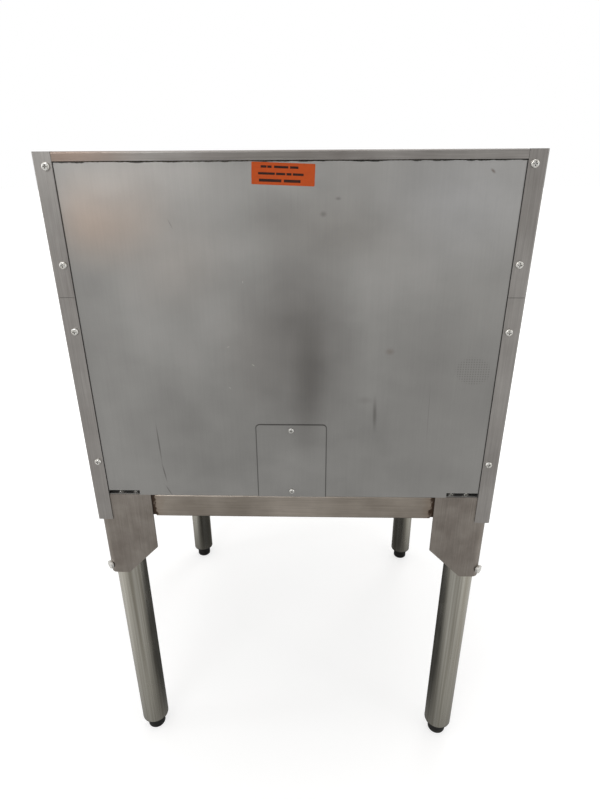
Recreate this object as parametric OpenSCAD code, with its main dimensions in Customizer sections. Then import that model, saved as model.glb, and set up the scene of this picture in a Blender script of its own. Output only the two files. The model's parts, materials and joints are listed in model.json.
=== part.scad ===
// Compact double-deck electric oven on a four-leg stand.
// Origin on the floor under the middle of the oven, +Z up, doors towards -Y, right-hand side +X.

/* [Cabinet] */
// Width across the side panels
body_w = 610; // [480:1:760]
// Depth from the front flanges to the rear flanges
body_d = 564; // [450:1:700]
// Height of one baking deck, and of an upper side panel
deck_h = 175; // [145:1:220]
// Height of the control compartment under the decks
control_h = 132; // [110:1:170]
// How far the side panels hang below the base pan
skirt_h = 45; // [42:1:60]
// Width of the flanges that the side panels turn in at front and rear
flange_w = 23; // [19:0.5:28]
// Drop of the flange that the top cover turns down at front and rear
top_flange_h = 11; // [8:0.5:18]

/* [Sheet metal] */
// Thickness of the cabinet sheet
sheet = 1.2; // [0.8:0.1:1.5]
// Thickness of the back panel and its access cover
back_sheet = 1; // [0.6:0.1:1.2]
// Outer radius of the cabinet's sheet bends
bend_r = 2.4; // [1.8:0.1:4]

/* [Stand] */
// Height from the floor to the underside of the base pan
stand_h = 550; // [420:1:760]
// Outside diameter of the leg tubes
leg_d = 48.3; // [38:0.1:60]
// Wall of the leg tubes
leg_wall = 1.6; // [1.2:0.1:2.5]
// Plate thickness of the brackets and rails
bracket_t = 2; // [1.5:0.1:3]
// Reach of each bracket plate from the corner
bracket_w = 84; // [76:1:110]
// Outer radius of the bracket's bend
bracket_bend_r = 11; // [8:0.5:16]
// Drop from the base pan to the start of the bracket's sloping edge
bracket_edge_drop = 100; // [80:1:120]
// Drop from the base pan to the bracket's level lower edge
bracket_drop = 152; // [148:1:170]
// Drop from the base pan to the bolt that holds each leg
leg_bolt_drop = 138; // [124:1:140]
// Height of the stand rails
rail_h = 40; // [30:1:42]
// Width of the top flange of each rail
rail_flange_w = 30; // [20:1:40]
// Gap between a rail's end and a bracket
rail_gap = 5; // [3:0.5:8]
// Diameter of a levelling foot
foot_d = 32; // [26:0.5:38]
// Height of a levelling foot
foot_h = 25; // [18:0.5:30]
// Diameter of a foot's threaded stem
foot_stem_d = 10; // [8:0.5:12]

/* [Fasteners] */
// Diameter of the bolt through each leg
leg_bolt_d = 8; // [6:0.5:10]
// Diameter of the flange screws
flange_screw_d = 5; // [4:0.5:6]
// Diameter of the access cover screws
cover_screw_d = 4; // [3:0.5:5]

/* [Access cover] */
// Width of the access cover
cover_w = 102; // [80:1:130]
// Height of the access cover
cover_h = 122; // [90:1:130]
// Radius of the cover's upper corners
cover_r = 5.5; // [2:0.5:10]

/* [Doors] */
// Thickness of a door
door_t = 33; // [28:0.5:40]
// Gap between a closed door and the fascia
door_gap = 2; // [1.8:0.1:3]
// Distance from a door's end to the outside of the cabinet
door_side = 55; // [45:1:70]
// Diameter of a hinge pin
hinge_pin_d = 6; // [5:0.5:8]
// Diameter of the handle bar
handle_d = 18; // [14:0.5:22]
// Distance from the door's face to the centre of the handle bar
handle_reach = 45; // [38:1:60]
// Width of the door window
window_w = 300; // [200:5:320]

/* [Decks] */
// Distance from the chamber's side wall to the outside of the cabinet
chamber_side = 70; // [60:1:90]
// Distance from the chamber's back wall to the rear flanges
chamber_back = 100; // [75:1:160]
// Thickness of a baking stone
stone_t = 14; // [10:0.5:20]
// Diameter of the heating element tube
element_d = 8; // [6.5:0.5:10]

/* [Controls] */
// Diameter of a thermostat knob
knob_d = 48; // [36:1:60]
// Diameter of a thermostat spindle
spindle_d = 6; // [5:0.5:8]
// Tilt of a rocker from its middle, in degrees
rocker_tilt = 8; // [5:0.5:10]
// Distance from the outside of the cabinet to a knob's centre
knob_inset = 115; // [95:1:140]
// Distance between a knob and its rocker, and on to its lamp
control_pitch = 68; // [50:1:70]

/* [Cable gland] */
// Diameter of the cable hole
gland_bore_d = 16; // [10:0.5:18]
// Diameter of the gland's thread
gland_thread_d = 25; // [24:0.5:32]

/* [Hidden] */
$fn = 96;

// Clearances: between sheets that lie on each other, round a loose bolt, and of a turning or sliding fit
lap_gap = 0.1;
bolt_gap = 0.3;
running_gap = 0.05;
seat_gap = 0.05;
leg_gap = 0.15;
eps = 0.5;

// Fasteners
screw_head_h = 3;
screw_l = 10;
cover_screw_head_h = 2.2;
cover_screw_l = 7;
leg_bolt_head_h = 4.3;
leg_bolt_head_af = 13;
nut_h = 6.5;

// Heights
deck_top_margin = 0.5;
z_base = stand_h;
z_lower_deck = z_base + control_h;
z_upper_deck = z_lower_deck + deck_h;
z_top = z_upper_deck + deck_h;
z_skirt = z_base - skirt_h;
panel_joint = 0.4;

// Cabinet planes, measured inwards from the outer flange faces at front and rear
inner_x = body_w / 2 - sheet - lap_gap;
skin_depth = sheet + lap_gap;
inner_depth = skin_depth + max(sheet, back_sheet) + lap_gap;
bend_clear = bend_r + lap_gap;
half_d = body_d / 2;
screw_inset = 15.25;
screw_below_top = 16.3;
screw_above_seam = 41.8;
screw_below_seam = 46.4;
screw_above_skirt = 104;
upper_screw_drops = [screw_below_top, deck_h - screw_above_seam];
lower_screw_drops = [deck_h + screw_below_seam, 2 * deck_h + control_h + skirt_h - screw_above_skirt];
back_top_gap = 1;
back_panel_side = 10;
top_cover_gap = 0.3;
notch_w = 47;
notch_h = 8;
notch_inset = 24;
post_w = 20;
post_t = 1.5;

// Access cover
cover_screw_insets = [9.2, 9.9];
access_side = 8;
access_sill = 18;
access_head = 26;

// Stand
bracket_side_gap = 1.8;
bracket_rear_gap = 0.3;
bracket_x = body_w / 2 - sheet - bracket_side_gap;
bracket_depth = sheet + bracket_rear_gap;
leg_x = bracket_x - bracket_t - leg_gap - leg_d / 2;
leg_depth = bracket_depth + bracket_t + leg_gap + leg_d / 2;
foot_clear = 3;
leg_end_z = foot_h + foot_clear;
leg_top_gap = 0.5;
leg_top_z = z_base - bracket_t - leg_top_gap;
leg_bolt_z = z_base - leg_bolt_drop;
leg_bolt_seat = (leg_depth - bracket_depth - bracket_bend_r) * sqrt(2) + bracket_bend_r;
leg_bolt_out = (leg_bolt_seat + seat_gap + leg_bolt_head_h + leg_bolt_head_af / 2) / sqrt(2) - leg_depth;
tongue_l = 30;
tongue_margin = 2.2;
plug_flange_t = 2;
plug_l = 20;
foot_stem_l = 35;
foot_edge_r = 2;
rail_x = bracket_x - bracket_w - rail_gap;
rail_y = half_d - bracket_depth - bracket_w - rail_gap;
rail_lip_w = 12;

// Doors, measured from the underside of their own deck and from the fascia's face
door_w = body_w - 2 * door_side;
door_rise = 10;
door_head = 15;
door_h = deck_h - door_rise - door_head;
door_wall = 1.2;
hinge_out = 13;
hinge_rise = 6;
hinge_boss_wall = 2;
opening_side = 20;
opening_sill = 24;
opening_head = 16;
opening_w = door_w - 2 * opening_side;
opening_h = door_h - opening_sill - opening_head;
liner_fit = 3;
liner_in = 6;
pane_t = 4;
pane_lap = 8;
pane_gap = 0.2;
window_rise = 38;
window_head = 50;
window_h = door_h - window_rise - window_head;
window_r = 8;
handle_drop = 35;
handle_rise = door_h - handle_drop;
handle_end = 40;
handle_post_inset = 40;
handle_post_d = 14;
ear_t = 4;
ear_r = 8;
ear_gap = 1.5;
hinge_pin_in = 14;
gasket_w = 8;
gasket_edge = 1;
gasket_gap = 0.2;

// The oven's depth is centred on the origin, from the rear screw heads to the handle bars
front_reach = door_gap + door_t + handle_reach + handle_d / 2 - skin_depth;
rear_reach = max(screw_head_h, round(10 * leg_bolt_out) / 10);
rear_y = (body_d + front_reach - rear_reach) / 2;
mid_y = rear_y - half_d;
front_y = rear_y - body_d;
fascia_y = front_y + skin_depth;
front_x = body_w / 2 - bend_clear;

// Decks
chamber_t = 1.5;
chamber_x = body_w / 2 - chamber_side;
chamber_rise = 16.5;
chamber_h = deck_h - 2 * chamber_rise;
chamber_front_y = front_y + inner_depth;
chamber_d = body_d - inner_depth - chamber_back;
stone_rise = 14;
stone_gap = 7;
stone_front_gap = 12;
ledge_w = 14;
element_rise = 7;
element_drop = 10;
element_runs = 6;
element_side = 35;
element_front_room = 15;
element_back_room = 25;
element_hole_reach = 10;
element_hole_gap = 1;
insulation_side_gap = 0.7;
insulation_x = inner_x - post_w - insulation_side_gap;
insulation_back = 40;
insulation_gap = 0.3;
element_tail = 12;

// Controls
control_z = z_base + control_h / 2;
knob_h = 22;
knob_gap = 1.5;
bush_d = 10;
thermostat_size = [36, 30, 36];
spindle_l = 18;
rocker_w = 17;
rocker_h = 24;
rocker_face = 4.5;
rocker_pivot_depth = 4;
rocker_pin_r = 1.5;
rocker_pin_l = 1.5;
rocker_side_gap = 0.2;
rocker_swing_room = 1.3;
rocker_cavity = [rocker_w + 2 * rocker_side_gap, 14, rocker_h + 2 * rocker_swing_room];
rocker_wall = 2.1;
rocker_bezel = [27, 2, 36];
lamp_d = 13;
lamp_body_d = 10;
lamp_body_l = 24;
lamp_steps = 1.7;

// Gland and terminal block
gland_x = -120;
gland_depth = 60;
gland_nut_af = 30;
terminal_size = [70, 22, 22];
terminal_depth = 55;
terminal_ways = 5;
terminal_screw_d = 6;
terminal_screw_depth = 8;
terminal_wire_d = 5;
terminal_wire_z = 8;

// ---- Shared shapes ----

// Places a piece made for the right rear corner at the corner with these signs
module corner(side, end) {
    translate([0, mid_y, 0])
        mirror([side < 0 ? 1 : 0, 0, 0])
            mirror([0, end < 0 ? 1 : 0, 0])
                children();
}

module all_corners() {
    for (side = [-1, 1], end = [-1, 1])
        corner(side, end)
            children();
}

module both_sides() {
    for (side = [-1, 1])
        mirror([side < 0 ? 1 : 0, 0, 0])
            children();
}

// A quarter of a ring in the first quadrant
module quarter_ring(r, t) {
    intersection() {
        difference() {
            circle(r);
            circle(r - t);
        }
        square(r);
    }
}

// Folded angle with its outer corner at the origin and its legs along -x and -y
module angle_profile(leg_x, leg_y, t, r) {
    translate([-leg_x, -t])
        square([leg_x - r, t]);
    translate([-t, -leg_y])
        square([t, leg_y - r]);
    translate([-r, -r])
        quarter_ring(r, t);
}

// Folded channel with its web along +y at x = 0 and its flanges along +x
module channel_profile(h, top, bottom, t, r) {
    translate([0, r])
        square([t, h - 2 * r]);
    translate([r, h - t])
        square([top - r, t]);
    translate([r, 0])
        square([bottom - r, t]);
    translate([r, h - r])
        mirror([1, 0])
            quarter_ring(r, t);
    translate([r, r])
        rotate(180)
            quarter_ring(r, t);
}

module rounded_rect(w, h, r) {
    square([w - 2 * r, h], center = true);
    square([w, h - 2 * r], center = true);
    for (x = [-1, 1], y = [-1, 1])
        translate([x * (w / 2 - r), y * (h / 2 - r)])
            circle(r);
}

// Turns a flat outline drawn in x and z, with its thickness going towards +Y
module upright(t) {
    rotate([90, 0, 0])
        translate([0, 0, -t])
            linear_extrude(t)
                children();
}

// Cylinder along x, centred on the origin
module rod_x(d, l) {
    rotate([0, 90, 0])
        cylinder(d = d, h = l, center = true);
}

// Cylinder along y that starts at the origin and runs towards +Y
module rod_y(d, l) {
    rotate([-90, 0, 0])
        cylinder(d = d, h = l);
}

// Pan-head screw driven towards -Y, its seat at the origin
module pan_screw(d, head_h, l) {
    head_d = 2 * d;
    edge = head_h * 0.7;
    slot_l = d * 1.1;
    slot_w = d * 0.22;
    slot_depth = d * 0.32;
    rotate([-90, 0, 0])
        difference() {
            union() {
                rotate_extrude() {
                    square([head_d / 2, head_h - edge]);
                    square([head_d / 2 - edge, head_h]);
                    translate([head_d / 2 - edge, head_h - edge])
                        intersection() {
                            circle(edge);
                            square(edge);
                        }
                }
                translate([0, 0, -l])
                    cylinder(d = d, h = l);
            }
            for (turn = [0, 90])
                rotate(turn)
                    translate([-slot_l / 2, -slot_w / 2, head_h - slot_depth])
                        cube([slot_l, slot_w, slot_depth + eps]);
        }
}

// Positions of the flange screws, as [side, height]
function flange_screws() = [
    for (side = [-1, 1], drop = concat(upper_screw_drops, lower_screw_drops))
        [side, z_top - drop]
];

// ---- Stand ----

module leg_tube(side, end) {
    color("silver")
        corner(side, end)
            difference() {
                translate([leg_x, half_d - leg_depth, leg_end_z])
                    cylinder(d = leg_d, h = leg_top_z - leg_end_z);
                translate([leg_x, half_d - leg_depth, leg_end_z - eps])
                    cylinder(d = leg_d - 2 * leg_wall, h = leg_top_z - leg_end_z + 2 * eps);
                bolt_line()
                    translate([leg_d / 2, 0, 0])
                        rod_x(leg_bolt_d + 2 * bolt_gap, leg_d / 2);
            }
}

// Places children on the bolt's line, from the leg's axis out through the middle of the bracket's bend
module bolt_line() {
    translate([leg_x, half_d - leg_depth, leg_bolt_z])
        rotate(45)
            children();
}

// Lower corner cut from a bracket plate, with the plate's free edge and foot at the origin
module bracket_slope() {
    slope_h = bracket_drop - bracket_edge_drop;
    polygon([[-eps, slope_h], [0, slope_h], [slope_h, 0], [slope_h, -eps], [-eps, -eps]]);
}

// Both sloping lower corners of a bracket
module bracket_cuts() {
    edge_x = bracket_x - bracket_w;
    edge_y = half_d - bracket_depth - bracket_w;
    translate([edge_x, half_d - bracket_depth - bracket_t - eps, z_base - bracket_drop])
        upright(bracket_t + 2 * eps)
            bracket_slope();
    translate([bracket_x + eps, edge_y, z_base - bracket_drop])
        rotate([90, 0, -90])
            linear_extrude(bracket_t + 2 * eps)
                mirror([1, 0])
                    bracket_slope();
}

module leg_bracket(side, end) {
    color("silver")
        corner(side, end)
            difference() {
                union() {
                    translate([bracket_x, half_d - bracket_depth, z_base - bracket_drop])
                        linear_extrude(bracket_drop)
                            angle_profile(bracket_w, bracket_w, bracket_t, bracket_bend_r);
                    translate([
                        bracket_x - bracket_w,
                        half_d - bracket_depth - bracket_w,
                        z_base - bracket_t
                    ])
                        linear_extrude(bracket_t)
                            bracket_top_profile();
                }
                bracket_cuts();
                bolt_line()
                    translate([leg_bolt_seat, 0, 0])
                        rod_x(leg_bolt_d + 2 * bolt_gap, 4 * bracket_t);
            }
}

// Square top plate whose outer corner follows the bracket's bend
module bracket_top_profile() {
    square([bracket_w, bracket_w - bracket_bend_r]);
    square([bracket_w - bracket_bend_r, bracket_w]);
    translate([bracket_w - bracket_bend_r, bracket_w - bracket_bend_r])
        circle(bracket_bend_r);
}

module leg_plugs() {
    color("black")
        all_corners()
            translate([leg_x, half_d - leg_depth, leg_end_z])
                difference() {
                    union() {
                        translate([0, 0, -plug_flange_t])
                            cylinder(d = leg_d, h = plug_flange_t);
                        cylinder(d = leg_d - 2 * leg_wall - 2 * leg_gap, h = plug_l);
                    }
                    translate([0, 0, -plug_flange_t - eps])
                        cylinder(d = foot_stem_d + 2 * running_gap, h = plug_l + plug_flange_t + 2 * eps);
                }
}

module leveling_foot(side, end) {
    color("black")
        corner(side, end)
            translate([leg_x, half_d - leg_depth, 0]) {
                rotate_extrude() {
                    square([foot_d / 2 - foot_edge_r, foot_h]);
                    translate([0, foot_edge_r])
                        square([foot_d / 2, foot_h - 2 * foot_edge_r]);
                    for (z = [foot_edge_r, foot_h - foot_edge_r])
                        translate([foot_d / 2 - foot_edge_r, z])
                            circle(foot_edge_r);
                }
                translate([0, 0, foot_h])
                    cylinder(d = foot_stem_d, h = foot_stem_l);
            }
}

// Hexagonal prism along x with a round hole through it
module hex_x(af, l, hole_d) {
    rotate([0, 90, 0])
        difference() {
            cylinder(d = af / cos(30), h = l, $fn = 6);
            translate([0, 0, -eps])
                cylinder(d = hole_d, h = l + 2 * eps);
        }
}

module leg_bolt() {
    nut_x = sqrt(pow(leg_d / 2 - leg_wall, 2) - pow(leg_bolt_head_af / 2 + bolt_gap, 2)) - nut_h;
    head_x = leg_bolt_seat + seat_gap;
    thread_out = 1;
    translate([nut_x - thread_out, 0, 0])
        rotate([0, 90, 0])
            cylinder(d = leg_bolt_d, h = head_x - nut_x + thread_out + leg_bolt_head_h / 2);
    translate([head_x, 0, 0])
        rotate([0, 90, 0])
            cylinder(d = leg_bolt_head_af / cos(30), h = leg_bolt_head_h, $fn = 6);
    translate([nut_x, 0, 0])
        hex_x(leg_bolt_head_af, nut_h, leg_bolt_d + 2 * seat_gap);
}

module leg_bolts() {
    color("gainsboro")
        all_corners()
            bolt_line()
                leg_bolt();
}

module rail_profile() {
    channel_profile(rail_h, rail_flange_w, rail_lip_w, bracket_t, bend_r + bracket_t / 2);
}

// Flat tongue behind the bracket plate, which carries a rail's end
module rail_tongue(length_at_end) {
    translate([length_at_end - tongue_l / 2, -2 * bracket_t, tongue_margin])
        cube([tongue_l, bracket_t, rail_h - 2 * tongue_margin]);
}

// Rail seen from its outer face, its web's outer side at y = 0 and its length along x
module stand_rail(half_l) {
    translate([0, 0, z_base - rail_h]) {
        rotate([90, 0, -90])
            linear_extrude(2 * half_l, center = true)
                rail_profile();
        both_sides()
            rail_tongue(half_l + rail_gap);
    }
}

module stand_rail_end(end) {
    color("silver")
        corner(1, end)
            translate([0, half_d - bracket_depth, 0])
                stand_rail(rail_x);
}

module stand_rail_side(side) {
    color("silver")
        corner(side, 1)
            translate([bracket_x, 0, 0])
                rotate([0, 0, -90])
                    stand_rail(rail_y);
}

// ---- Cabinet ----

module base_pan() {
    upturn_l = 2 * (body_w / 2 - notch_inset - notch_w);
    upturn_h = 15;
    color("silver")
        difference() {
            union() {
                translate([-inner_x, front_y + inner_depth, z_base])
                    cube([2 * inner_x, body_d - 2 * inner_depth, sheet]);
                for (end = [-1, 1])
                    corner(1, end)
                        translate([-upturn_l / 2, half_d - inner_depth - sheet, z_base])
                            cube([upturn_l, sheet, upturn_h]);
            }
            translate([gland_x, rear_y - gland_depth, z_base - eps])
                cylinder(d = gland_thread_d + 2 * bolt_gap, h = sheet + 2 * eps);
            cover_screw_holes();
        }
}

module corner_posts() {
    color("silver")
        difference() {
            all_corners()
                translate([inner_x, half_d - inner_depth, z_base + sheet])
                    linear_extrude(z_top - z_base - 2 * sheet)
                        angle_profile(post_w, post_w, post_t, bend_r);
            flange_screw_holes();
        }
}

module flange_screw_holes() {
    for (screw = flange_screws())
        translate([screw[0] * (body_w / 2 - screw_inset), rear_y - 2 * screw_l, screw[1]])
            rod_y(flange_screw_d + 2 * bolt_gap, 3 * screw_l);
}

module heat_shield() {
    shield_x = inner_x - bend_clear;
    shield_depth = inner_depth + bend_clear;
    color("silver")
        translate([-shield_x, front_y + shield_depth, z_lower_deck - sheet])
            cube([2 * shield_x, body_d - 2 * shield_depth, sheet]);
}

module side_panel(side, z_low, z_high) {
    color("silver")
        difference() {
            corner(side, 1)
                translate([body_w / 2, 0, z_low])
                    linear_extrude(z_high - z_low)
                        for (end = [0, 1])
                            mirror([0, end])
                                translate([0, half_d])
                                    angle_profile(flange_w, half_d, sheet, bend_r);
            flange_screw_holes();
        }
}

module back_panel() {
    panel_x = body_w / 2 - back_panel_side;
    panel_top = z_top - top_flange_h - back_top_gap;
    access_w = cover_w - 2 * access_side;
    access_h = cover_h - access_sill - access_head;
    color("darkgray")
        difference() {
            translate([-panel_x, rear_y - skin_depth - back_sheet, z_base])
                cube([2 * panel_x, back_sheet, panel_top - z_base]);
            both_sides()
                translate([
                    body_w / 2 - notch_inset - notch_w,
                    rear_y - skin_depth - back_sheet - eps,
                    z_base - eps
                ])
                    cube([notch_w, back_sheet + 2 * eps, notch_h + eps]);
            translate([
                -access_w / 2,
                rear_y - skin_depth - back_sheet - eps,
                z_base + access_sill
            ])
                cube([access_w, back_sheet + 2 * eps, access_h]);
            flange_screw_holes();
            cover_screw_holes();
        }
}

function cover_screw_heights() = [
    z_base + cover_h - cover_screw_insets[0],
    z_base + cover_screw_insets[1]
];

module cover_screw_holes() {
    for (z = cover_screw_heights())
        translate([0, rear_y - screw_l, z])
            rod_y(cover_screw_d + 2 * bolt_gap, 2 * screw_l);
}

module access_cover() {
    color("darkgray")
        difference() {
            translate([0, rear_y - skin_depth, z_base])
                upright(back_sheet) {
                    translate([-cover_w / 2, 0])
                        square([cover_w, cover_h - cover_r]);
                    translate([0, cover_h / 2])
                        rounded_rect(cover_w, cover_h, cover_r);
                }
            cover_screw_holes();
        }
}

module top_cover() {
    flange_x = body_w / 2 - flange_w - top_cover_gap;
    color("silver") {
        for (end = [-1, 1])
            corner(1, end)
                translate([0, half_d, z_top])
                    rotate([90, 0, 90])
                        linear_extrude(2 * flange_x, center = true)
                            angle_profile(half_d, top_flange_h, sheet, bend_r);
        translate([-inner_x, front_y + bend_clear, z_top - sheet])
            cube([2 * inner_x, body_d - 2 * bend_clear, sheet]);
    }
}

module rear_screws() {
    color("gainsboro") {
        for (screw = flange_screws())
            translate([screw[0] * (body_w / 2 - screw_inset), rear_y, screw[1]])
                pan_screw(flange_screw_d, screw_head_h, screw_l);
        for (z = cover_screw_heights())
            translate([0, rear_y - skin_depth + back_sheet, z])
                pan_screw(cover_screw_d, cover_screw_head_h, cover_screw_l);
    }
}

// ---- Front ----

// Opening of one deck in the fascia, as a flat outline in x and z
module opening_outline(z_deck, grow) {
    translate([0, z_deck + door_rise + opening_sill + opening_h / 2])
        square([opening_w + 2 * grow, opening_h + 2 * grow], center = true);
}

// Ear on the fascia that carries a hinge pin at the door's end
module hinge_ear(z_deck) {
    ear_x = door_w / 2 + ear_gap;
    translate([ear_x, fascia_y - hinge_out, z_deck + door_rise + hinge_rise]) {
        translate([0, 0, -ear_r])
            cube([ear_t, hinge_out + sheet / 2, 2 * ear_r]);
        rotate([0, 90, 0])
            cylinder(r = ear_r, h = ear_t);
    }
}

module front_fascia() {
    color("silver")
        difference() {
            union() {
                translate([-front_x, fascia_y, z_lower_deck])
                    cube([2 * front_x, sheet, z_top - bend_clear - z_lower_deck]);
                for (z_deck = [z_lower_deck, z_upper_deck])
                    both_sides()
                        hinge_ear(z_deck);
            }
            for (z_deck = [z_lower_deck, z_upper_deck]) {
                translate([0, fascia_y - eps, 0])
                    upright(sheet + 2 * eps)
                        opening_outline(z_deck, 0);
                translate([0, fascia_y - hinge_out, z_deck + door_rise + hinge_rise])
                    rod_x(hinge_pin_d + 2 * running_gap, body_w);
            }
        }
}

module door_gasket(z_deck) {
    color("dimgray")
        translate([0, fascia_y - door_gap + gasket_gap, 0])
            upright(door_gap - gasket_gap)
                difference() {
                    opening_outline(z_deck, gasket_edge + gasket_w);
                    opening_outline(z_deck, gasket_edge);
                }
}

// Window of one deck's door, as a flat outline in x and z
module window_outline(z_deck, grow) {
    translate([0, z_deck + door_rise + window_rise + window_h / 2])
        rounded_rect(window_w + 2 * grow, window_h + 2 * grow, window_r);
}

module door_shell(z_deck) {
    door_z = z_deck + door_rise;
    door_y = fascia_y - door_gap - door_t;
    color("silver")
        difference() {
            union() {
                difference() {
                    translate([-door_w / 2, door_y, door_z])
                        cube([door_w, door_t, door_h]);
                    translate([-door_w / 2 + door_wall, door_y + door_wall, door_z + door_wall])
                        cube([door_w - 2 * door_wall, door_t, door_h - 2 * door_wall]);
                }
                both_sides()
                    translate([
                        door_w / 2 - hinge_pin_in - hinge_boss_wall,
                        fascia_y - hinge_out,
                        door_z + hinge_rise
                    ])
                        rotate([0, 90, 0])
                            cylinder(
                                d = hinge_pin_d + 2 * hinge_boss_wall,
                                h = hinge_pin_in + hinge_boss_wall - door_wall / 2
                            );
            }
            translate([0, door_y - eps, 0])
                upright(door_wall + 2 * eps)
                    window_outline(z_deck, 0);
            both_sides()
                translate([door_w / 2 - hinge_pin_in, fascia_y - hinge_out, door_z + hinge_rise])
                    rotate([0, 90, 0])
                        cylinder(d = hinge_pin_d, h = hinge_pin_in + eps);
        }
}

// Inner pan of a door: a plate across the shell's mouth, with a plug that enters the opening
module door_liner(z_deck) {
    door_z = z_deck + door_rise;
    mouth_x = door_w / 2 - door_wall - lap_gap;
    mouth_z = door_wall + lap_gap;
    back_y = fascia_y - door_gap;
    plug_y = fascia_y + liner_in;
    color("silver")
        difference() {
            union() {
                translate([-mouth_x, back_y - door_wall, door_z + mouth_z])
                    cube([2 * mouth_x, door_wall, door_h - 2 * mouth_z]);
                translate([0, back_y - door_wall, 0])
                    upright(plug_y - back_y + door_wall)
                        opening_outline(z_deck, -liner_fit);
            }
            translate([0, back_y - door_wall - eps, 0])
                upright(plug_y - back_y + eps)
                    opening_outline(z_deck, -liner_fit - door_wall);
            translate([0, plug_y - door_wall - eps, 0])
                upright(door_wall + 2 * eps)
                    window_outline(z_deck, 0);
        }
}

module door_glass(z_deck) {
    outer_y = fascia_y - door_gap - door_t + door_wall + pane_gap;
    inner_y = fascia_y + liner_in - door_wall - pane_gap - pane_t;
    color("lightblue", 0.4)
        for (y = [outer_y, inner_y])
            translate([0, y, 0])
                upright(pane_t)
                    window_outline(z_deck, pane_lap);
}

module door_handle(z_deck) {
    bar_y = fascia_y - door_gap - door_t - handle_reach;
    bar_z = z_deck + door_rise + handle_rise;
    bar_l = door_w - 2 * handle_end;
    color("silver") {
        translate([0, bar_y, bar_z])
            rod_x(handle_d, bar_l);
        both_sides()
            difference() {
                translate([bar_l / 2 - handle_post_inset, bar_y, bar_z])
                    rod_y(handle_post_d, handle_reach);
                translate([0, bar_y, bar_z])
                    rod_x(handle_d + 2 * seat_gap, bar_l);
            }
    }
}

module hinge_pins(z_deck) {
    ear_end = door_w / 2 + ear_gap + ear_t;
    head_gap = 0.3;
    head_t = 2.5;
    head_rim = 2;
    color("gainsboro")
        both_sides()
            translate([0, fascia_y - hinge_out, z_deck + door_rise + hinge_rise])
                rotate([0, 90, 0]) {
                    translate([0, 0, door_w / 2 - hinge_pin_in])
                        cylinder(d = hinge_pin_d, h = hinge_pin_in + ear_gap + ear_t + head_gap + head_t / 2);
                    translate([0, 0, ear_end + head_gap])
                        cylinder(d = hinge_pin_d + 2 * head_rim, h = head_t);
                }
}

// ---- Decks ----

// Positions across the chamber of the element's straight runs
function run_x(i) = (chamber_x - element_side) * (2 * i / (element_runs - 1) - 1);

// Height of the lower or upper element of a deck
function element_z(z_deck, level) =
    z_deck + chamber_rise + (level == 0 ? element_rise : chamber_h - element_drop);

module chamber_shell_box(z_deck, grow) {
    translate([-chamber_x - grow, chamber_front_y - eps, z_deck + chamber_rise - grow])
        cube([2 * (chamber_x + grow), chamber_d + grow + eps, chamber_h + 2 * grow]);
}

module element_holes(z_deck) {
    back_y = chamber_front_y + chamber_d - element_hole_reach;
    for (level = [0, 1], run = [0, element_runs - 1])
        translate([run_x(run), back_y, element_z(z_deck, level)])
            rod_y(element_d + 2 * element_hole_gap, insulation_back + 2 * element_hole_reach);
}

module chamber(z_deck) {
    color("gainsboro")
        difference() {
            union() {
                difference() {
                    translate([
                        -chamber_x - chamber_t,
                        chamber_front_y,
                        z_deck + chamber_rise - chamber_t
                    ])
                        cube([
                            2 * (chamber_x + chamber_t),
                            chamber_d + chamber_t,
                            chamber_h + 2 * chamber_t
                        ]);
                    chamber_shell_box(z_deck, 0);
                }
                both_sides()
                    translate([
                        chamber_x - ledge_w,
                        chamber_front_y + stone_front_gap,
                        z_deck + chamber_rise + stone_rise - chamber_t
                    ])
                        cube([ledge_w + chamber_t / 2, chamber_d - stone_front_gap, chamber_t]);
            }
            element_holes(z_deck);
        }
}

module insulation(z_deck) {
    outer_h = deck_h - 2 * deck_top_margin - sheet;
    color("khaki")
        difference() {
            translate([-insulation_x, chamber_front_y, z_deck + deck_top_margin])
                cube([2 * insulation_x, chamber_d + insulation_back, outer_h]);
            chamber_shell_box(z_deck, chamber_t + insulation_gap);
            element_holes(z_deck);
        }
}

module stone(z_deck) {
    color("tan")
        translate([
            -chamber_x + stone_gap,
            chamber_front_y + stone_front_gap,
            z_deck + chamber_rise + stone_rise
        ])
            cube([2 * (chamber_x - stone_gap), chamber_d - stone_front_gap - stone_gap, stone_t]);
}

// Half-round bend of the element tube, turned up towards +Y or down towards -Y
module element_bend(r, up) {
    rotate(up ? 0 : 180)
        rotate_extrude(angle = 180)
            translate([r, 0])
                circle(d = element_d);
}

// Flat serpentine of tube whose two ends leave through the back of the chamber
module element_coil() {
    pitch = run_x(1) - run_x(0);
    front_end = chamber_front_y + stone_front_gap + pitch / 2 + element_front_room;
    back_end = chamber_front_y + chamber_d - pitch / 2 - element_back_room;
    tail_end = chamber_front_y + chamber_d + insulation_back + element_tail;
    for (i = [0 : element_runs - 1]) {
        run_end = i == 0 || i == element_runs - 1 ? tail_end : back_end;
        translate([run_x(i), front_end, 0])
            rod_y(element_d, run_end - front_end);
    }
    for (i = [0 : element_runs - 2])
        translate([run_x(i) + pitch / 2, i % 2 == 0 ? front_end : back_end, 0])
            element_bend(pitch / 2, i % 2 == 1);
}

module elements(z_deck) {
    color("darkslategray")
        for (level = [0, 1])
            translate([0, 0, element_z(z_deck, level)])
                element_coil();
}

// ---- Controls ----

// Centres of the knob, the rocker and the lamp of one deck
function knob_x(side) = side * (body_w / 2 - knob_inset);
function rocker_x(side) = side * (body_w / 2 - knob_inset - control_pitch);
function lamp_x(side) = side * (body_w / 2 - knob_inset - lamp_steps * control_pitch);

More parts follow.
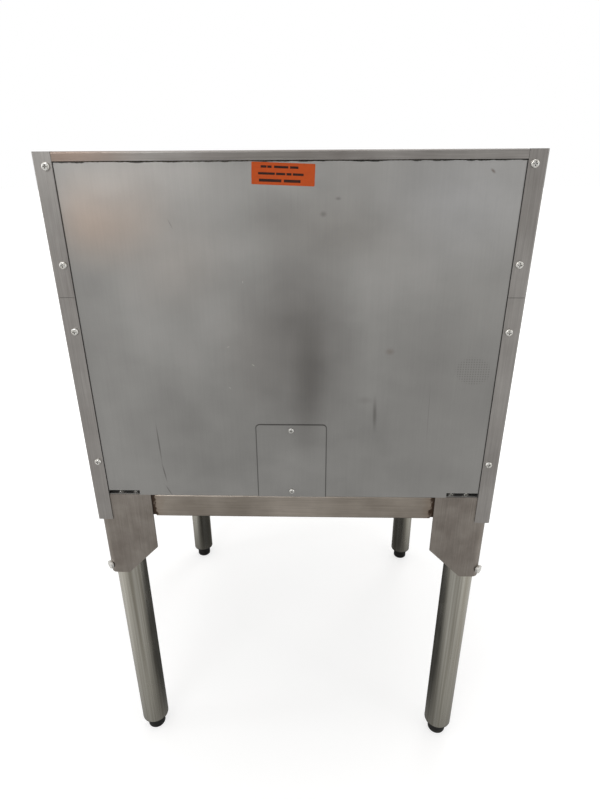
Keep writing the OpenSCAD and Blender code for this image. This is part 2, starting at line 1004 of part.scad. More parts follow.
module control_panel() {
    color("silver")
        difference() {
            translate([-front_x, fascia_y, z_base])
                cube([2 * front_x, sheet, control_h - panel_joint]);
            for (side = [-1, 1]) {
                translate([knob_x(side), fascia_y - eps, control_z])
                    rod_y(bush_d + 2 * bolt_gap, sheet + 2 * eps);
                translate([lamp_x(side), fascia_y - eps, control_z])
                    rod_y(lamp_body_d + 2 * bolt_gap, sheet + 2 * eps);
                translate([rocker_x(side), fascia_y - eps, control_z])
                    upright(sheet + 2 * eps)
                        square([
                            rocker_cavity[0] + 2 * rocker_wall + bolt_gap,
                            rocker_cavity[2] + 2 * rocker_wall + bolt_gap
                        ], center = true);
            }
        }
}

// Knob with a round skirt, a raised grip bar and its spindle
module thermostat_knob(side) {
    skirt_t = 7;
    grip_w = 13;
    grip_inset = 3;
    color("black")
        translate([knob_x(side), fascia_y - knob_gap, control_z]) {
            rotate([90, 0, 0]) {
                cylinder(d = knob_d, h = skirt_t);
                intersection() {
                    cylinder(d = knob_d - 2 * grip_inset, h = knob_h);
                    translate([-grip_w / 2, -knob_d / 2, 0])
                        cube([grip_w, knob_d, knob_h]);
                }
            }
            rod_y(spindle_d, knob_gap + spindle_l);
        }
}

module thermostat_bodies() {
    bush_out = 0.8;
    color("dimgray")
        for (side = [-1, 1])
            translate([knob_x(side), fascia_y, control_z])
                difference() {
                    union() {
                        translate([
                            -thermostat_size[0] / 2,
                            sheet + lap_gap,
                            -thermostat_size[2] / 2
                        ])
                            cube(thermostat_size);
                        translate([0, -bush_out, 0])
                            rod_y(bush_d, bush_out + sheet + lap_gap + eps);
                    }
                    translate([0, -bush_out - eps, 0])
                        rod_y(spindle_d + 2 * running_gap, spindle_l + bush_out + 2 * eps);
                }
}

module rocker_section() {
    end_y = rocker_face + rocker_h / 2 * tan(rocker_tilt);
    polygon([
        [-end_y, rocker_h / 2],
        [-rocker_face, 0],
        [-end_y, -rocker_h / 2],
        [0, -rocker_h / 2],
        [rocker_face, -rocker_h / 6],
        [rocker_face, rocker_h / 6],
        [0, rocker_h / 2]
    ]);
}

// Rocker resting on its off side, with its pivot pins
module power_rocker(side) {
    color("darkgreen")
        translate([rocker_x(side), fascia_y + rocker_pivot_depth, control_z])
            rotate([-rocker_tilt, 0, 0]) {
                rotate([90, 0, 90])
                    linear_extrude(rocker_w, center = true)
                        rocker_section();
                rod_x(2 * rocker_pin_r, rocker_w + 2 * rocker_pin_l);
            }
}

module rocker_housings() {
    body_size = [
        rocker_cavity[0] + 2 * rocker_wall,
        rocker_cavity[1] + rocker_wall,
        rocker_cavity[2] + 2 * rocker_wall
    ];
    color("black")
        for (side = [-1, 1])
            translate([rocker_x(side), fascia_y, control_z])
                difference() {
                    union() {
                        translate([-rocker_bezel[0] / 2, -rocker_bezel[1], -rocker_bezel[2] / 2])
                            cube(rocker_bezel);
                        translate([-body_size[0] / 2, 0, -body_size[2] / 2])
                            cube(body_size);
                    }
                    translate([-rocker_cavity[0] / 2, -rocker_bezel[1] - eps, -rocker_cavity[2] / 2])
                        cube([
                            rocker_cavity[0],
                            rocker_cavity[1] + rocker_bezel[1] + eps,
                            rocker_cavity[2]
                        ]);
                    translate([0, rocker_pivot_depth, 0])
                        rod_x(
                            2 * (rocker_pin_r + running_gap),
                            rocker_w + 2 * (rocker_pin_l + 2 * running_gap)
                        );
                }
}

module indicator_lamps() {
    lens_out = 4;
    lens_dome = lamp_d / 2 * 0.55;
    color("orange")
        for (side = [-1, 1])
            translate([lamp_x(side), fascia_y, control_z])
                rotate([90, 0, 0]) {
                    rotate_extrude()
                        intersection() {
                            translate([0, -lens_dome])
                                circle(r = lens_dome + lens_out);
                            square([lamp_d / 2, lens_out]);
                        }
                    translate([0, 0, -lamp_body_l])
                        cylinder(d = lamp_body_d, h = lamp_body_l);
                }
}

// ---- Electrics ----

module cable_gland() {
    nose_l = 12;
    nut_l = 9;
    thread_l = 10;
    locknut_t = 5;
    locknut_rim = 1;
    color("dimgray")
        translate([gland_x, rear_y - gland_depth, z_base]) {
            difference() {
                union() {
                    translate([0, 0, -nut_l])
                        cylinder(d = gland_nut_af / cos(30), h = nut_l, $fn = 6);
                    translate([0, 0, -nut_l - nose_l])
                        cylinder(d = gland_thread_d, h = nose_l);
                    cylinder(d = gland_thread_d, h = thread_l);
                }
                translate([0, 0, -nut_l - nose_l - eps])
                    cylinder(d = gland_bore_d, h = nut_l + nose_l + thread_l + 2 * eps);
            }
            translate([0, 0, sheet])
                difference() {
                    cylinder(d = (gland_nut_af + 2 * locknut_rim) / cos(30), h = locknut_t, $fn = 6);
                    translate([0, 0, -eps])
                        cylinder(d = gland_thread_d + 2 * seat_gap, h = locknut_t + 2 * eps);
                }
        }
}

module terminal_block() {
    pitch = terminal_size[0] / terminal_ways;
    color("ivory")
        translate([-terminal_size[0] / 2, rear_y - terminal_depth - terminal_size[1], z_base + sheet])
            difference() {
                cube(terminal_size);
                for (i = [0 : terminal_ways - 1])
                    translate([(i + 0.5) * pitch, terminal_size[1] / 2, 0]) {
                        for (row = [-1, 1])
                            translate([
                                0,
                                row * terminal_size[1] / 4,
                                terminal_size[2] - terminal_screw_depth
                            ])
                                cylinder(d = terminal_screw_d, h = terminal_screw_depth + eps);
                        translate([0, -terminal_size[1] / 2 - eps, terminal_wire_z])
                            rod_y(terminal_wire_d, terminal_size[1] + 2 * eps);
                    }
            }
}

// ---- Nodes ----

leg_tube(-1, -1);  // leg_tube_front_left
leg_tube(1, -1);  // leg_tube_front_right
leg_tube(-1, 1);  // leg_tube_rear_left
leg_tube(1, 1);  // leg_tube_rear_right
leg_bracket(-1, -1);  // leg_bracket_front_left
leg_bracket(1, -1);  // leg_bracket_front_right
leg_bracket(-1, 1);  // leg_bracket_rear_left
leg_bracket(1, 1);  // leg_bracket_rear_right
leveling_foot(-1, -1);  // foot_front_left
leveling_foot(1, -1);  // foot_front_right
leveling_foot(-1, 1);  // foot_rear_left
leveling_foot(1, 1);  // foot_rear_right
leg_plugs();
leg_bolts();
stand_rail_end(-1);  // stand_rail_front
stand_rail_end(1);  // stand_rail_rear
stand_rail_side(-1);  // stand_rail_left
stand_rail_side(1);  // stand_rail_right
base_pan();
corner_posts();
heat_shield();
side_panel(-1, z_skirt, z_upper_deck - panel_joint);  // side_panel_left_lower
side_panel(1, z_skirt, z_upper_deck - panel_joint);  // side_panel_right_lower
side_panel(-1, z_upper_deck, z_top);  // side_panel_left_upper
side_panel(1, z_upper_deck, z_top);  // side_panel_right_upper
back_panel();
access_cover();
top_cover();
rear_screws();
front_fascia();
control_panel();
door_gasket(z_upper_deck);  // upper_gasket
door_gasket(z_lower_deck);  // lower_gasket
chamber(z_upper_deck);  // upper_chamber
chamber(z_lower_deck);  // lower_chamber
insulation(z_upper_deck);  // upper_insulation
insulation(z_lower_deck);  // lower_insulation
stone(z_upper_deck);  // upper_stone
stone(z_lower_deck);  // lower_stone
elements(z_upper_deck);  // upper_elements
elements(z_lower_deck);  // lower_elements
door_shell(z_upper_deck);  // upper_door_shell
door_shell(z_lower_deck);  // lower_door_shell
door_liner(z_upper_deck);  // upper_door_liner
door_liner(z_lower_deck);  // lower_door_liner
door_glass(z_upper_deck);  // upper_door_glass
door_glass(z_lower_deck);  // lower_door_glass
door_handle(z_upper_deck);  // upper_door_handle
door_handle(z_lower_deck);  // lower_door_handle
hinge_pins(z_upper_deck);  // upper_hinge_pins
hinge_pins(z_lower_deck);  // lower_hinge_pins
thermostat_knob(-1);  // upper_thermostat_knob
thermostat_knob(1);  // lower_thermostat_knob
thermostat_bodies();
power_rocker(-1);  // upper_power_rocker
power_rocker(1);  // lower_power_rocker
rocker_housings();
indicator_lamps();
cable_gland();
terminal_block();
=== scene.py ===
import json
import math

import bpy
from mathutils import Matrix, Vector

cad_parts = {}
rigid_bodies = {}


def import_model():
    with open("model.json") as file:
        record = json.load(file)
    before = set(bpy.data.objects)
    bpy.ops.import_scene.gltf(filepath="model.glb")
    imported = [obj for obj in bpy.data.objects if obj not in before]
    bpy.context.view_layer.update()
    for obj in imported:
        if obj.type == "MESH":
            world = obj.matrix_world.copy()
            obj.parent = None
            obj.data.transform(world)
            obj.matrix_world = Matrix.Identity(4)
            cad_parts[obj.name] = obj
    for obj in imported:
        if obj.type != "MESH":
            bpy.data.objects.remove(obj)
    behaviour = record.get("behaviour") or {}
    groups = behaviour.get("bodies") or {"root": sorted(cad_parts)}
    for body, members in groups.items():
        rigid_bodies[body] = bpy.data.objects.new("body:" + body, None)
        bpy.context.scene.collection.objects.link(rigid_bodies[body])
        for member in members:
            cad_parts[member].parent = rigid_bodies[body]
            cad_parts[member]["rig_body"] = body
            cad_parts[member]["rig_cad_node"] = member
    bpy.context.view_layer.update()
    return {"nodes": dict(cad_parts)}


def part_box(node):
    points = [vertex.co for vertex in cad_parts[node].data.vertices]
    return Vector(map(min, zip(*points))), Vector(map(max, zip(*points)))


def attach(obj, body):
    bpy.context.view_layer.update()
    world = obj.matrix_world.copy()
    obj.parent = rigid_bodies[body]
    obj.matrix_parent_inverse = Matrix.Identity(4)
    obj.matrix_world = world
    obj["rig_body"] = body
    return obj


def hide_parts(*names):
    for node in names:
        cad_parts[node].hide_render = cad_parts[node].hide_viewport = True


bl_info = {
    "name": "Deck oven",
    "version": (1, 0, 0),
    "blender": (4, 5, 0),
    "location": "3D View > Sidebar > Deck oven",
    "description": "Finishes and fine detail of a compact double-deck oven on a leg stand",
    "category": "Object",
}

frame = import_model()

MM = 0.001
X_AXIS, Y_AXIS, Z_AXIS = 0, 1, 2
CORNERS = ("front_left", "front_right", "rear_left", "rear_right")
DECKS = ("upper", "lower")

# Planes of the carried-over parts
PANEL_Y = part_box("back_panel")[1].y
PANEL_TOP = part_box("back_panel")[1].z
PANEL_FRONT_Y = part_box("control_panel")[0].y


# ---- Colours and nodes ----

def linear(code):
    """An sRGB hex colour as linear red, green, blue and alpha."""
    shares = [int(code[i:i + 2], 16) / 255 for i in (1, 3, 5)]
    turned = [s / 12.92 if s <= 0.04045 else ((s + 0.055) / 1.055) ** 2.4 for s in shares]
    return (*turned, 1.0)


def add_node(tree, kind, inputs=None, **settings):
    """Adds a node with its settings. An input that is a socket is linked, one that is a node is linked
    to that node's first output, and anything else is the input's value."""
    node = tree.nodes.new(kind)
    for name, value in settings.items():
        setattr(node, name, value)
    for name, value in (inputs or {}).items():
        if isinstance(value, bpy.types.Node):
            value = value.outputs[0]
        if isinstance(value, bpy.types.NodeSocket):
            tree.links.new(value, node.inputs[name])
        else:
            node.inputs[name].default_value = value
    return node


def start_material(name):
    """A new material with no nodes but the piece's own coordinates, in metres."""
    material = bpy.data.materials.new(name)
    material.use_nodes = True
    tree = material.node_tree
    tree.nodes.clear()
    place = add_node(tree, "ShaderNodeTexCoord").outputs["Object"]
    return material, tree, place


def finish_material(material, inputs):
    """Gives a material its shader with these inputs, joined to the output."""
    tree = material.node_tree
    shader = add_node(tree, "ShaderNodeBsdfPrincipled", inputs)
    add_node(tree, "ShaderNodeOutputMaterial", {"Surface": shader})
    return material


def reexposedmaterial(material):
    """A finished material's tree, its shader, the piece's coordinates and the base colour so far."""
    tree = material.node_tree
    kinds = {node.type: node for node in tree.nodes}
    shader = kinds["BSDF_PRINCIPLED"]
    base = shader.inputs["Base Color"].links[0].from_socket
    return tree, shader, kinds["TEX_COORD"].outputs["Object"], base


def drawn_noise(tree, place, sizes, detail=3.0, rough=0.55):
    """Noise whose blobs have these sizes along x, y and z, in millimetres."""
    spread = add_node(tree, "ShaderNodeMapping", {
        "Vector": place, "Scale": [1 / (s * MM) for s in sizes]})
    return add_node(tree, "ShaderNodeTexNoise", {
        "Vector": spread, "Scale": 1.0, "Detail": detail, "Roughness": rough}).outputs[0]


def soft_spot(tree, place, centre, half, turn=0.0, edge=0.7):
    """An oval mask on an upright sheet: centre and half sizes along x and z in millimetres, turn
    in degrees."""
    oval = add_node(tree, "ShaderNodeMapping", {
        "Vector": place,
        "Location": (centre[0] * MM, PANEL_Y, centre[1] * MM),
        "Rotation": (0.0, math.radians(turn), 0.0),
        "Scale": (half[0] * MM, 1.0, half[1] * MM)}, vector_type="TEXTURE")
    reach = add_node(tree, "ShaderNodeVectorMath", {0: oval}, operation="LENGTH")
    return add_node(tree, "ShaderNodeMapRange", {
        0: reach.outputs["Value"], 1: 1.0, 2: 1.0 - edge},
        interpolation_type="SMOOTHSTEP").outputs[0]


def stain(tree, base, mask, colour, amount):
    """Lays a colour over the base colour where the mask is."""
    share = add_node(tree, "ShaderNodeMath", {0: mask, 1: amount}, operation="MULTIPLY")
    return add_node(tree, "ShaderNodeMix", {
        0: share, 6: base, 7: colour}, data_type="RGBA").outputs[2]


def two_tones(tree, dark, light, noise, low, high):
    """A colour that goes from dark to light as the noise goes from low to high."""
    tone = add_node(tree, "ShaderNodeMapRange", {0: noise, 1: low, 2: high})
    return add_node(tree, "ShaderNodeMix", {0: tone, 6: dark, 7: light}, data_type="RGBA").outputs[2]


# ---- Materials ----

# Marks that handling has left on the back sheet, with a painted reflection among them: centre and half sizes
# along x and z in millimetres, turn in degrees, softness of the edge, colour and strength
HANDLING_MARKS_AND_PAINTED_REFLECTION = (
    ((225, 955), (105, 75), 20, 1.0, "#D2B9A6", 0.42),
    ((256, 968), (48, 62), 5, 1.0, "#CFB5A2", 0.25),
    ((150, 905), (110, 90), 15, 1.0, "#C4BAB2", 0.25),
    # Painted reflection: the next two dark upright ovals stand for a dark band mirrored in the sheet
    ((-10, 815), (105, 210), 2, 1.0, "#6A6663", 0.5),
    ((-26, 730), (34, 150), -3, 1.0, "#5A5754", 0.42),
    ((60, 790), (60, 130), 6, 1.0, "#8B8784", 0.3),
    ((-75, 940), (190, 60), -6, 1.0, "#8F8A84", 0.25),
    ((-215, 975), (150, 110), 0, 1.0, "#CCCDD0", 0.35),
    ((205, 1005), (190, 75), 0, 1.0, "#DAD6D2", 0.4),
    ((-119, 690), (4.5, 36), 2, 1.0, "#5B5854", 0.5),
    ((-135, 783), (9, 7), 0, 1.0, "#7B6A5C", 0.35),
    ((-104, 711), (16, 9), 0, 1.0, "#7A7773", 0.25),
    ((-43, 960), (6, 5), 0, 1.0, "#5A5652", 0.4),
    ((-61, 978), (5, 3), 0, 1.0, "#5A5652", 0.4),
    ((-243, 1008), (5.5, 2.4), -40, 1.0, "#5C4632", 0.6),
    ((195, 640), (1.6, 42), 2, 0.9, "#4F4B48", 0.55),
    ((192, 590), (1.5, 22), 8, 0.9, "#4F4B48", 0.55),
    ((188, 558), (1.5, 14), 26, 0.9, "#4F4B48", 0.5),
    ((51, 763), (3.2, 0.9), -35, 0.9, "#E2E0DC", 0.6),
    ((84, 789), (3.0, 0.8), 20, 0.9, "#E2E0DC", 0.5),
    ((85, 729), (2.4, 0.8), -50, 0.9, "#E2E0DC", 0.6),
    ((60, 877), (0.9, 2.6), 5, 0.9, "#E2E0DC", 0.5),
    ((-195, 690), (0.8, 60), 1, 0.9, "#6B6966", 0.35),
    ((147, 949), (1.0, 9), 24, 0.9, "#5E5A56", 0.35),
)


def satin_steel(name, light, dark, line, long_axis, rough=(0.34, 0.46), cloud=90.0):
    """Stainless sheet with a satin, one-way finish: fine lines along the grain, and slow
    clouds of handling marks that change how sharply it reflects."""
    material, tree, place = start_material(name)
    # The real lines are about 0.3 mm apart: drawn 1 to 1.6 mm apart so that they show
    sizes = [line, line, line]
    sizes[long_axis] = 60.0
    lines = drawn_noise(tree, place, sizes)
    clouds = drawn_noise(tree, place, (cloud, cloud, cloud), detail=4.0)
    colour = two_tones(tree, dark, light, clouds, 0.3, 0.7)
    streak = add_node(tree, "ShaderNodeMapRange", {0: lines, 1: 0.25, 2: 0.75, 3: 0.86, 4: 1.12})
    streaked = add_node(tree, "ShaderNodeVectorMath", {0: colour, 3: streak}, operation="SCALE")
    both = add_node(tree, "ShaderNodeMath", {0: lines, 1: clouds}, operation="ADD")
    sharp = add_node(tree, "ShaderNodeMapRange", {0: both, 1: 0.6, 2: 1.4, 3: rough[0], 4: rough[1]})
    lift = add_node(tree, "ShaderNodeBump", {"Strength": 0.12, "Distance": 0.0002, "Height": lines})
    return finish_material(material, {
        "Base Color": streaked, "Metallic": 1.0, "Roughness": sharp, "Normal": lift})


def heat_tinted_steel(name, light, dark, line, long_axis, ends):
    """The stand's satin steel, with the straw and brown tint that welding leaves near each end."""
    material = satin_steel(name, light, dark, line, long_axis)
    tree, shader, place, base = reexposedmaterial(material)
    split = add_node(tree, "ShaderNodeSeparateXYZ", {0: place})
    out = add_node(tree, "ShaderNodeMath", {0: split.outputs["X"]}, operation="ABSOLUTE")
    patchy = drawn_noise(tree, place, (12.0, 12.0, 9.0))
    wander = add_node(tree, "ShaderNodeMapRange", {0: patchy, 1: 0.3, 2: 0.7, 3: -0.004, 4: 0.004})
    reach = add_node(tree, "ShaderNodeMath", {0: out, 1: wander}, operation="ADD")
    straw = add_node(tree, "ShaderNodeMapRange", {0: reach, 1: ends[0] * MM, 2: ends[1] * MM})
    brown = add_node(tree, "ShaderNodeMapRange", {0: reach, 1: ends[1] * MM, 2: (ends[1] + 3) * MM})
    tinted = stain(tree, base, straw, linear("#8A7460"), 0.35)
    tinted = stain(tree, tinted, brown, linear("#3A2A20"), 0.9)
    tree.links.new(tinted, shader.inputs["Base Color"])
    return material


def zinc_back_sheet(name, light, dark, with_marks_and_painted_light):
    """Electro-zinc coated sheet, dull and faintly mottled, with an upright rolling grain, and painted shade
    that darkens it towards the bottom. The marks
    are what years of handling leave: warm clouds, runs, nicks and scuffs; a dark upright band that is a
    painted reflection; painted shade in the seams; and a painted shadow line round the access cover."""
    material, tree, place = start_material(name)
    mottle = drawn_noise(tree, place, (60.0, 60.0, 42.0), detail=6.0, rough=0.62)
    # The rolling grain is about 0.2 mm wide: drawn at 2 mm so that it shows
    grain = drawn_noise(tree, place, (2.0, 2.0, 60.0), detail=4.0)
    clouds = drawn_noise(tree, place, (170.0, 170.0, 210.0), detail=2.0)
    base = two_tones(tree, dark, light, clouds, 0.3, 0.7)
    height = add_node(tree, "ShaderNodeSeparateXYZ", {0: place})
    # Painted shade: the sheet is darkened towards its bottom
    low = add_node(tree, "ShaderNodeMapRange", {
        0: height.outputs["Z"], 1: 0.99, 2: 0.62}, interpolation_type="SMOOTHSTEP")
    base = stain(tree, base, low, linear("#7C7C7A"), 0.15)
    if with_marks_and_painted_light:
        # Handling marks, with a painted reflection among them
        for centre, half, turn, edge, code, amount in HANDLING_MARKS_AND_PAINTED_REFLECTION:
            mask = soft_spot(tree, place, centre, half, turn, edge)
            base = stain(tree, base, mask, linear(code), amount)
        base = dimple_rows(tree, place, base)
        # Painted shade in the seams under the side flanges and the top cover
        base = stain(tree, base, seam_dirt(tree, place), linear("#161311"), 0.85)
    # Painted shadow round the edge of the access cover
    base = stain(tree, base, cover_outline(tree, place), linear("#2A2826"), 0.6)
    streak = add_node(tree, "ShaderNodeMapRange", {0: grain, 1: 0.25, 2: 0.75, 3: 0.975, 4: 1.025})
    patch = add_node(tree, "ShaderNodeMapRange", {0: mottle, 1: 0.3, 2: 0.7, 3: 0.95, 4: 1.05})
    even = add_node(tree, "ShaderNodeMath", {0: streak, 1: patch}, operation="MULTIPLY")
    final = add_node(tree, "ShaderNodeVectorMath", {0: base, 3: even}, operation="SCALE")
    sharp = add_node(tree, "ShaderNodeMapRange", {0: mottle, 1: 0.3, 2: 0.7, 3: 0.42, 4: 0.54})
    lift = add_node(tree, "ShaderNodeBump", {"Strength": 0.1, "Distance": 0.0003, "Height": mottle})
    return finish_material(material, {
        "Base Color": final, "Metallic": 0.85, "Roughness": sharp, "Normal": lift})


def seam_dirt(tree, place):
    """A mask of painted shade where the back sheet goes under the side flanges, and ragged where it meets
    the top cover.
    """
    flange_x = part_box("side_panel_right_upper")[0].x
    split = add_node(tree, "ShaderNodeSeparateXYZ", {0: place})
    out = add_node(tree, "ShaderNodeMath", {0: split.outputs["X"]}, operation="ABSOLUTE")
    side = add_node(tree, "ShaderNodeMapRange", {0: out, 1: flange_x - 1.5 * MM, 2: flange_x - 0.6 * MM})
    ragged = drawn_noise(tree, place, (16.0, 16.0, 16.0), detail=4.0)
    wander = add_node(tree, "ShaderNodeMapRange", {0: ragged, 1: 0.35, 2: 0.65, 3: -1.6 * MM, 4: 0.4 * MM})
    height = add_node(tree, "ShaderNodeMath", {0: split.outputs["Z"], 1: wander}, operation="ADD")
    top = add_node(tree, "ShaderNodeMapRange", {
        0: height, 1: PANEL_TOP - 1.4 * MM, 2: PANEL_TOP - 0.5 * MM})
    return add_node(tree, "ShaderNodeMath", {0: side, 1: top}, operation="MAXIMUM").outputs[0]


def cover_outline(tree, place):
    """A mask of painted shadow along the edge of the access cover: level at its foot, round at
    its corners."""
    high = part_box("access_cover")[1]
    corner = 5.5 * MM
    split = add_node(tree, "ShaderNodeSeparateXYZ", {0: place})
    out = add_node(tree, "ShaderNodeMath", {0: split.outputs["X"]}, operation="ABSOLUTE")
    over_x = add_node(tree, "ShaderNodeMath", {0: out, 1: high.x - corner}, operation="SUBTRACT")
    over_z = add_node(tree, "ShaderNodeMath", {
        0: split.outputs["Z"], 1: high.z - corner}, operation="SUBTRACT")
    both = add_node(tree, "ShaderNodeCombineXYZ", {0: over_x, 2: over_z})
    outside = add_node(tree, "ShaderNodeVectorMath", {0: both}, operation="MAXIMUM")
    reach = add_node(tree, "ShaderNodeVectorMath", {0: outside}, operation="LENGTH")
    inside = add_node(tree, "ShaderNodeMath", {0: over_x, 1: over_z}, operation="MAXIMUM")
    inside = add_node(tree, "ShaderNodeMath", {0: inside, 1: 0.0}, operation="MINIMUM")
    edge = add_node(tree, "ShaderNodeMath", {0: reach.outputs["Value"], 1: inside}, operation="ADD")
    edge = add_node(tree, "ShaderNodeMath", {0: edge, 1: corner}, operation="SUBTRACT")
    edge = add_node(tree, "ShaderNodeMath", {0: edge}, operation="ABSOLUTE")
    return add_node(tree, "ShaderNodeMapRange", {
        0: edge, 1: 0.4 * MM, 2: 1.1 * MM, 3: 1.0, 4: 0.0}).outputs[0]


def dimple_rows(tree, place, base):
    """A faint block of pin marks on the back sheet, 3.5 mm apart."""
    pitch = 3.5 * MM
    cells = add_node(tree, "ShaderNodeVectorMath", {0: place, 3: 1 / pitch}, operation="SCALE")
    share = add_node(tree, "ShaderNodeVectorMath", {0: cells}, operation="FRACTION")
    middle = add_node(tree, "ShaderNodeVectorMath", {0: share, 1: (0.5, 0.5, 0.5)}, operation="SUBTRACT")
    flat = add_node(tree, "ShaderNodeVectorMath", {0: middle, 1: (1.0, 0.0, 1.0)}, operation="MULTIPLY")
    reach = add_node(tree, "ShaderNodeVectorMath", {0: flat}, operation="LENGTH")
    dot = add_node(tree, "ShaderNodeMapRange", {0: reach.outputs["Value"], 1: 0.36, 2: 0.2})
    block = soft_spot(tree, place, (-250, 755), (27, 22), -12, 0.25)
    both = add_node(tree, "ShaderNodeMath", {0: dot, 1: block}, operation="MULTIPLY")
    return stain(tree, base, both, linear("#5D5A56"), 0.3)


def drawn_tube(name, light, dark):
    """Stainless tube with a mill-bright surface: sharp reflections broken by long lines down the tube."""
    material, tree, place = start_material(name)
    # Draw lines are about 0.5 mm wide: drawn at 3 mm so that they show
    lines = drawn_noise(tree, place, (3.0, 3.0, 420.0), detail=3.0, rough=0.65)
    bands = drawn_noise(tree, place, (11.0, 11.0, 600.0), detail=2.0)
    wear = drawn_noise(tree, place, (25.0, 25.0, 60.0), detail=4.0)
    both = add_node(tree, "ShaderNodeMath", {0: lines, 1: bands}, operation="ADD")
    colour = two_tones(tree, dark, light, both, 0.7, 1.3)
    sharp = add_node(tree, "ShaderNodeMapRange", {0: wear, 1: 0.3, 2: 0.7, 3: 0.18, 4: 0.3})
    lift = add_node(tree, "ShaderNodeBump", {"Strength": 0.1, "Distance": 0.0004, "Height": both})
    return finish_material(material, {
        "Base Color": colour, "Metallic": 1.0, "Roughness": sharp, "Normal": lift})


def bright_zinc(name, light, dark):
    """Zinc-plated fasteners: a bright, slightly warm and uneven shine, with painted shade in the recesses.
    """
    material, tree, place = start_material(name)
    plate = drawn_noise(tree, place, (3.0, 3.0, 3.0), detail=3.0)
    colour = two_tones(tree, dark, light, plate, 0.35, 0.65)
    # Painted shade: recesses are darkened where ambient occlusion finds them enclosed
    exposed = add_node(tree, "ShaderNodeAmbientOcclusion", {"Distance": 1.6 * MM}, samples=6)
    recess_shade = add_node(tree, "ShaderNodeMapRange", {
        0: exposed.outputs["AO"], 1: 0.35, 2: 0.75, 3: 1.0, 4: 0.0})
    colour = stain(tree, colour, recess_shade, linear("#17130F"), 0.9)
    sharp = add_node(tree, "ShaderNodeMapRange", {0: plate, 1: 0.3, 2: 0.7, 3: 0.16, 4: 0.34})
    return finish_material(material, {"Base Color": colour, "Metallic": 1.0, "Roughness": sharp})


def spangled_steel(name, light, dark):
    """Hot-dip aluminised sheet: a matt silver skin with faint crystals about 7 mm across."""
    material, tree, place = start_material(name)
    crystal = add_node(tree, "ShaderNodeTexVoronoi", {"Vector": place, "Scale": 1 / (7 * MM)})
    chance = add_node(tree, "ShaderNodeSeparateXYZ", {0: crystal.outputs["Color"]})
    scorch = drawn_noise(tree, place, (80.0, 80.0, 60.0), detail=4.0)
    colour = add_node(tree, "ShaderNodeMix", {
        0: chance.outputs["X"], 6: dark, 7: light}, data_type="RGBA").outputs[2]
    brown = add_node(tree, "ShaderNodeMapRange", {0: scorch, 1: 0.5, 2: 0.8})
    colour = stain(tree, colour, brown, linear("#6B5A48"), 0.6)
    sharp = add_node(tree, "ShaderNodeMapRange", {0: chance.outputs["Y"], 3: 0.36, 4: 0.52})
    return finish_material(material, {"Base Color": colour, "Metallic": 0.9, "Roughness": sharp})


def moulded_black(name, colour, pebble, rough, height):
    """Moulded black plastic: a low sheen and a fine pebbled skin, dusty in patches."""
    material, tree, place = start_material(name)
    skin = drawn_noise(tree, place, (pebble, pebble, pebble), detail=2.0)
    dust = drawn_noise(tree, place, (22.0, 22.0, 14.0), detail=4.0)
    where = add_node(tree, "ShaderNodeMapRange", {0: dust, 1: 0.48, 2: 0.8})
    base = stain(tree, colour, where, linear("#5A5854"), 0.35)
    sharp = add_node(tree, "ShaderNodeMapRange", {0: dust, 1: 0.3, 2: 0.7, 3: rough, 4: rough + 0.16})
    lift = add_node(tree, "ShaderNodeBump", {"Strength": 0.25, "Distance": height * MM, "Height": skin})
    return finish_material(material, {"Base Color": base, "Roughness": sharp, "Normal": lift})


def glossy_plastic(name, colour, deep, rough, through):
    """Clear-tinted moulded plastic of a rocker or a lamp lens, a little darker where it is thick."""
    material, tree, place = start_material(name)
    flow = drawn_noise(tree, place, (7.0, 7.0, 7.0), detail=2.0)
    base = add_node(tree, "ShaderNodeMix", {0: flow, 6: deep, 7: colour}, data_type="RGBA").outputs[2]
    ribs = add_node(tree, "ShaderNodeTexWave", {
        "Vector": place, "Scale": 1 / (14 * MM), "Distortion": 0.0}, wave_type="BANDS", bands_direction="Z")
    lift = add_node(tree, "ShaderNodeBump", {
        "Strength": 0.2, "Distance": 0.0002, "Height": ribs.outputs["Fac"]})
    return finish_material(material, {
        "Base Color": base, "Roughness": rough, "Transmission Weight": through,
        "Coat Weight": 0.4, "Normal": lift})


def oven_glass(name, tint):
    """Tempered oven glass: clear and slightly smoky, with wiped streaks that soften its reflections."""
    material, tree, place = start_material(name)
    wiped = drawn_noise(tree, place, (60.0, 20.0, 14.0), detail=4.0)
    film = add_node(tree, "ShaderNodeMapRange", {0: wiped, 1: 0.45, 2: 0.75})
    base = stain(tree, tint, film, linear("#B9A88F"), 0.12)
    sharp = add_node(tree, "ShaderNodeMapRange", {0: wiped, 1: 0.4, 2: 0.8, 3: 0.01, 4: 0.12})
    return finish_material(material, {
        "Base Color": base, "Transmission Weight": 1.0, "IOR": 1.52, "Roughness": sharp})


def baking_stone(name, pale, brown):
    """Cordierite baking stone: matt, sandy, with coarse grains and scorched patches from use."""
    material, tree, place = start_material(name)
    grains = add_node(tree, "ShaderNodeTexVoronoi", {"Vector": place, "Scale": 1 / (2.4 * MM)})
    sand = drawn_noise(tree, place, (1.6, 1.6, 1.6), detail=4.0, rough=0.7)
    burnt = drawn_noise(tree, place, (95.0, 95.0, 95.0), detail=5.0, rough=0.6)
    fleck = add_node(tree, "ShaderNodeMapRange", {
        0: grains.outputs["Distance"], 1: 0.1, 2: 0.6, 3: 0.75, 4: 1.05})
    where = add_node(tree, "ShaderNodeMapRange", {0: burnt, 1: 0.45, 2: 0.75})
    base = stain(tree, pale, where, brown, 0.75)
    base = add_node(tree, "ShaderNodeVectorMath", {0: base, 3: fleck}, operation="SCALE").outputs[0]
    lift = add_node(tree, "ShaderNodeBump", {"Strength": 0.6, "Distance": 0.0006, "Height": sand})
    return finish_material(material, {"Base Color": base, "Roughness": 0.92, "Normal": lift})


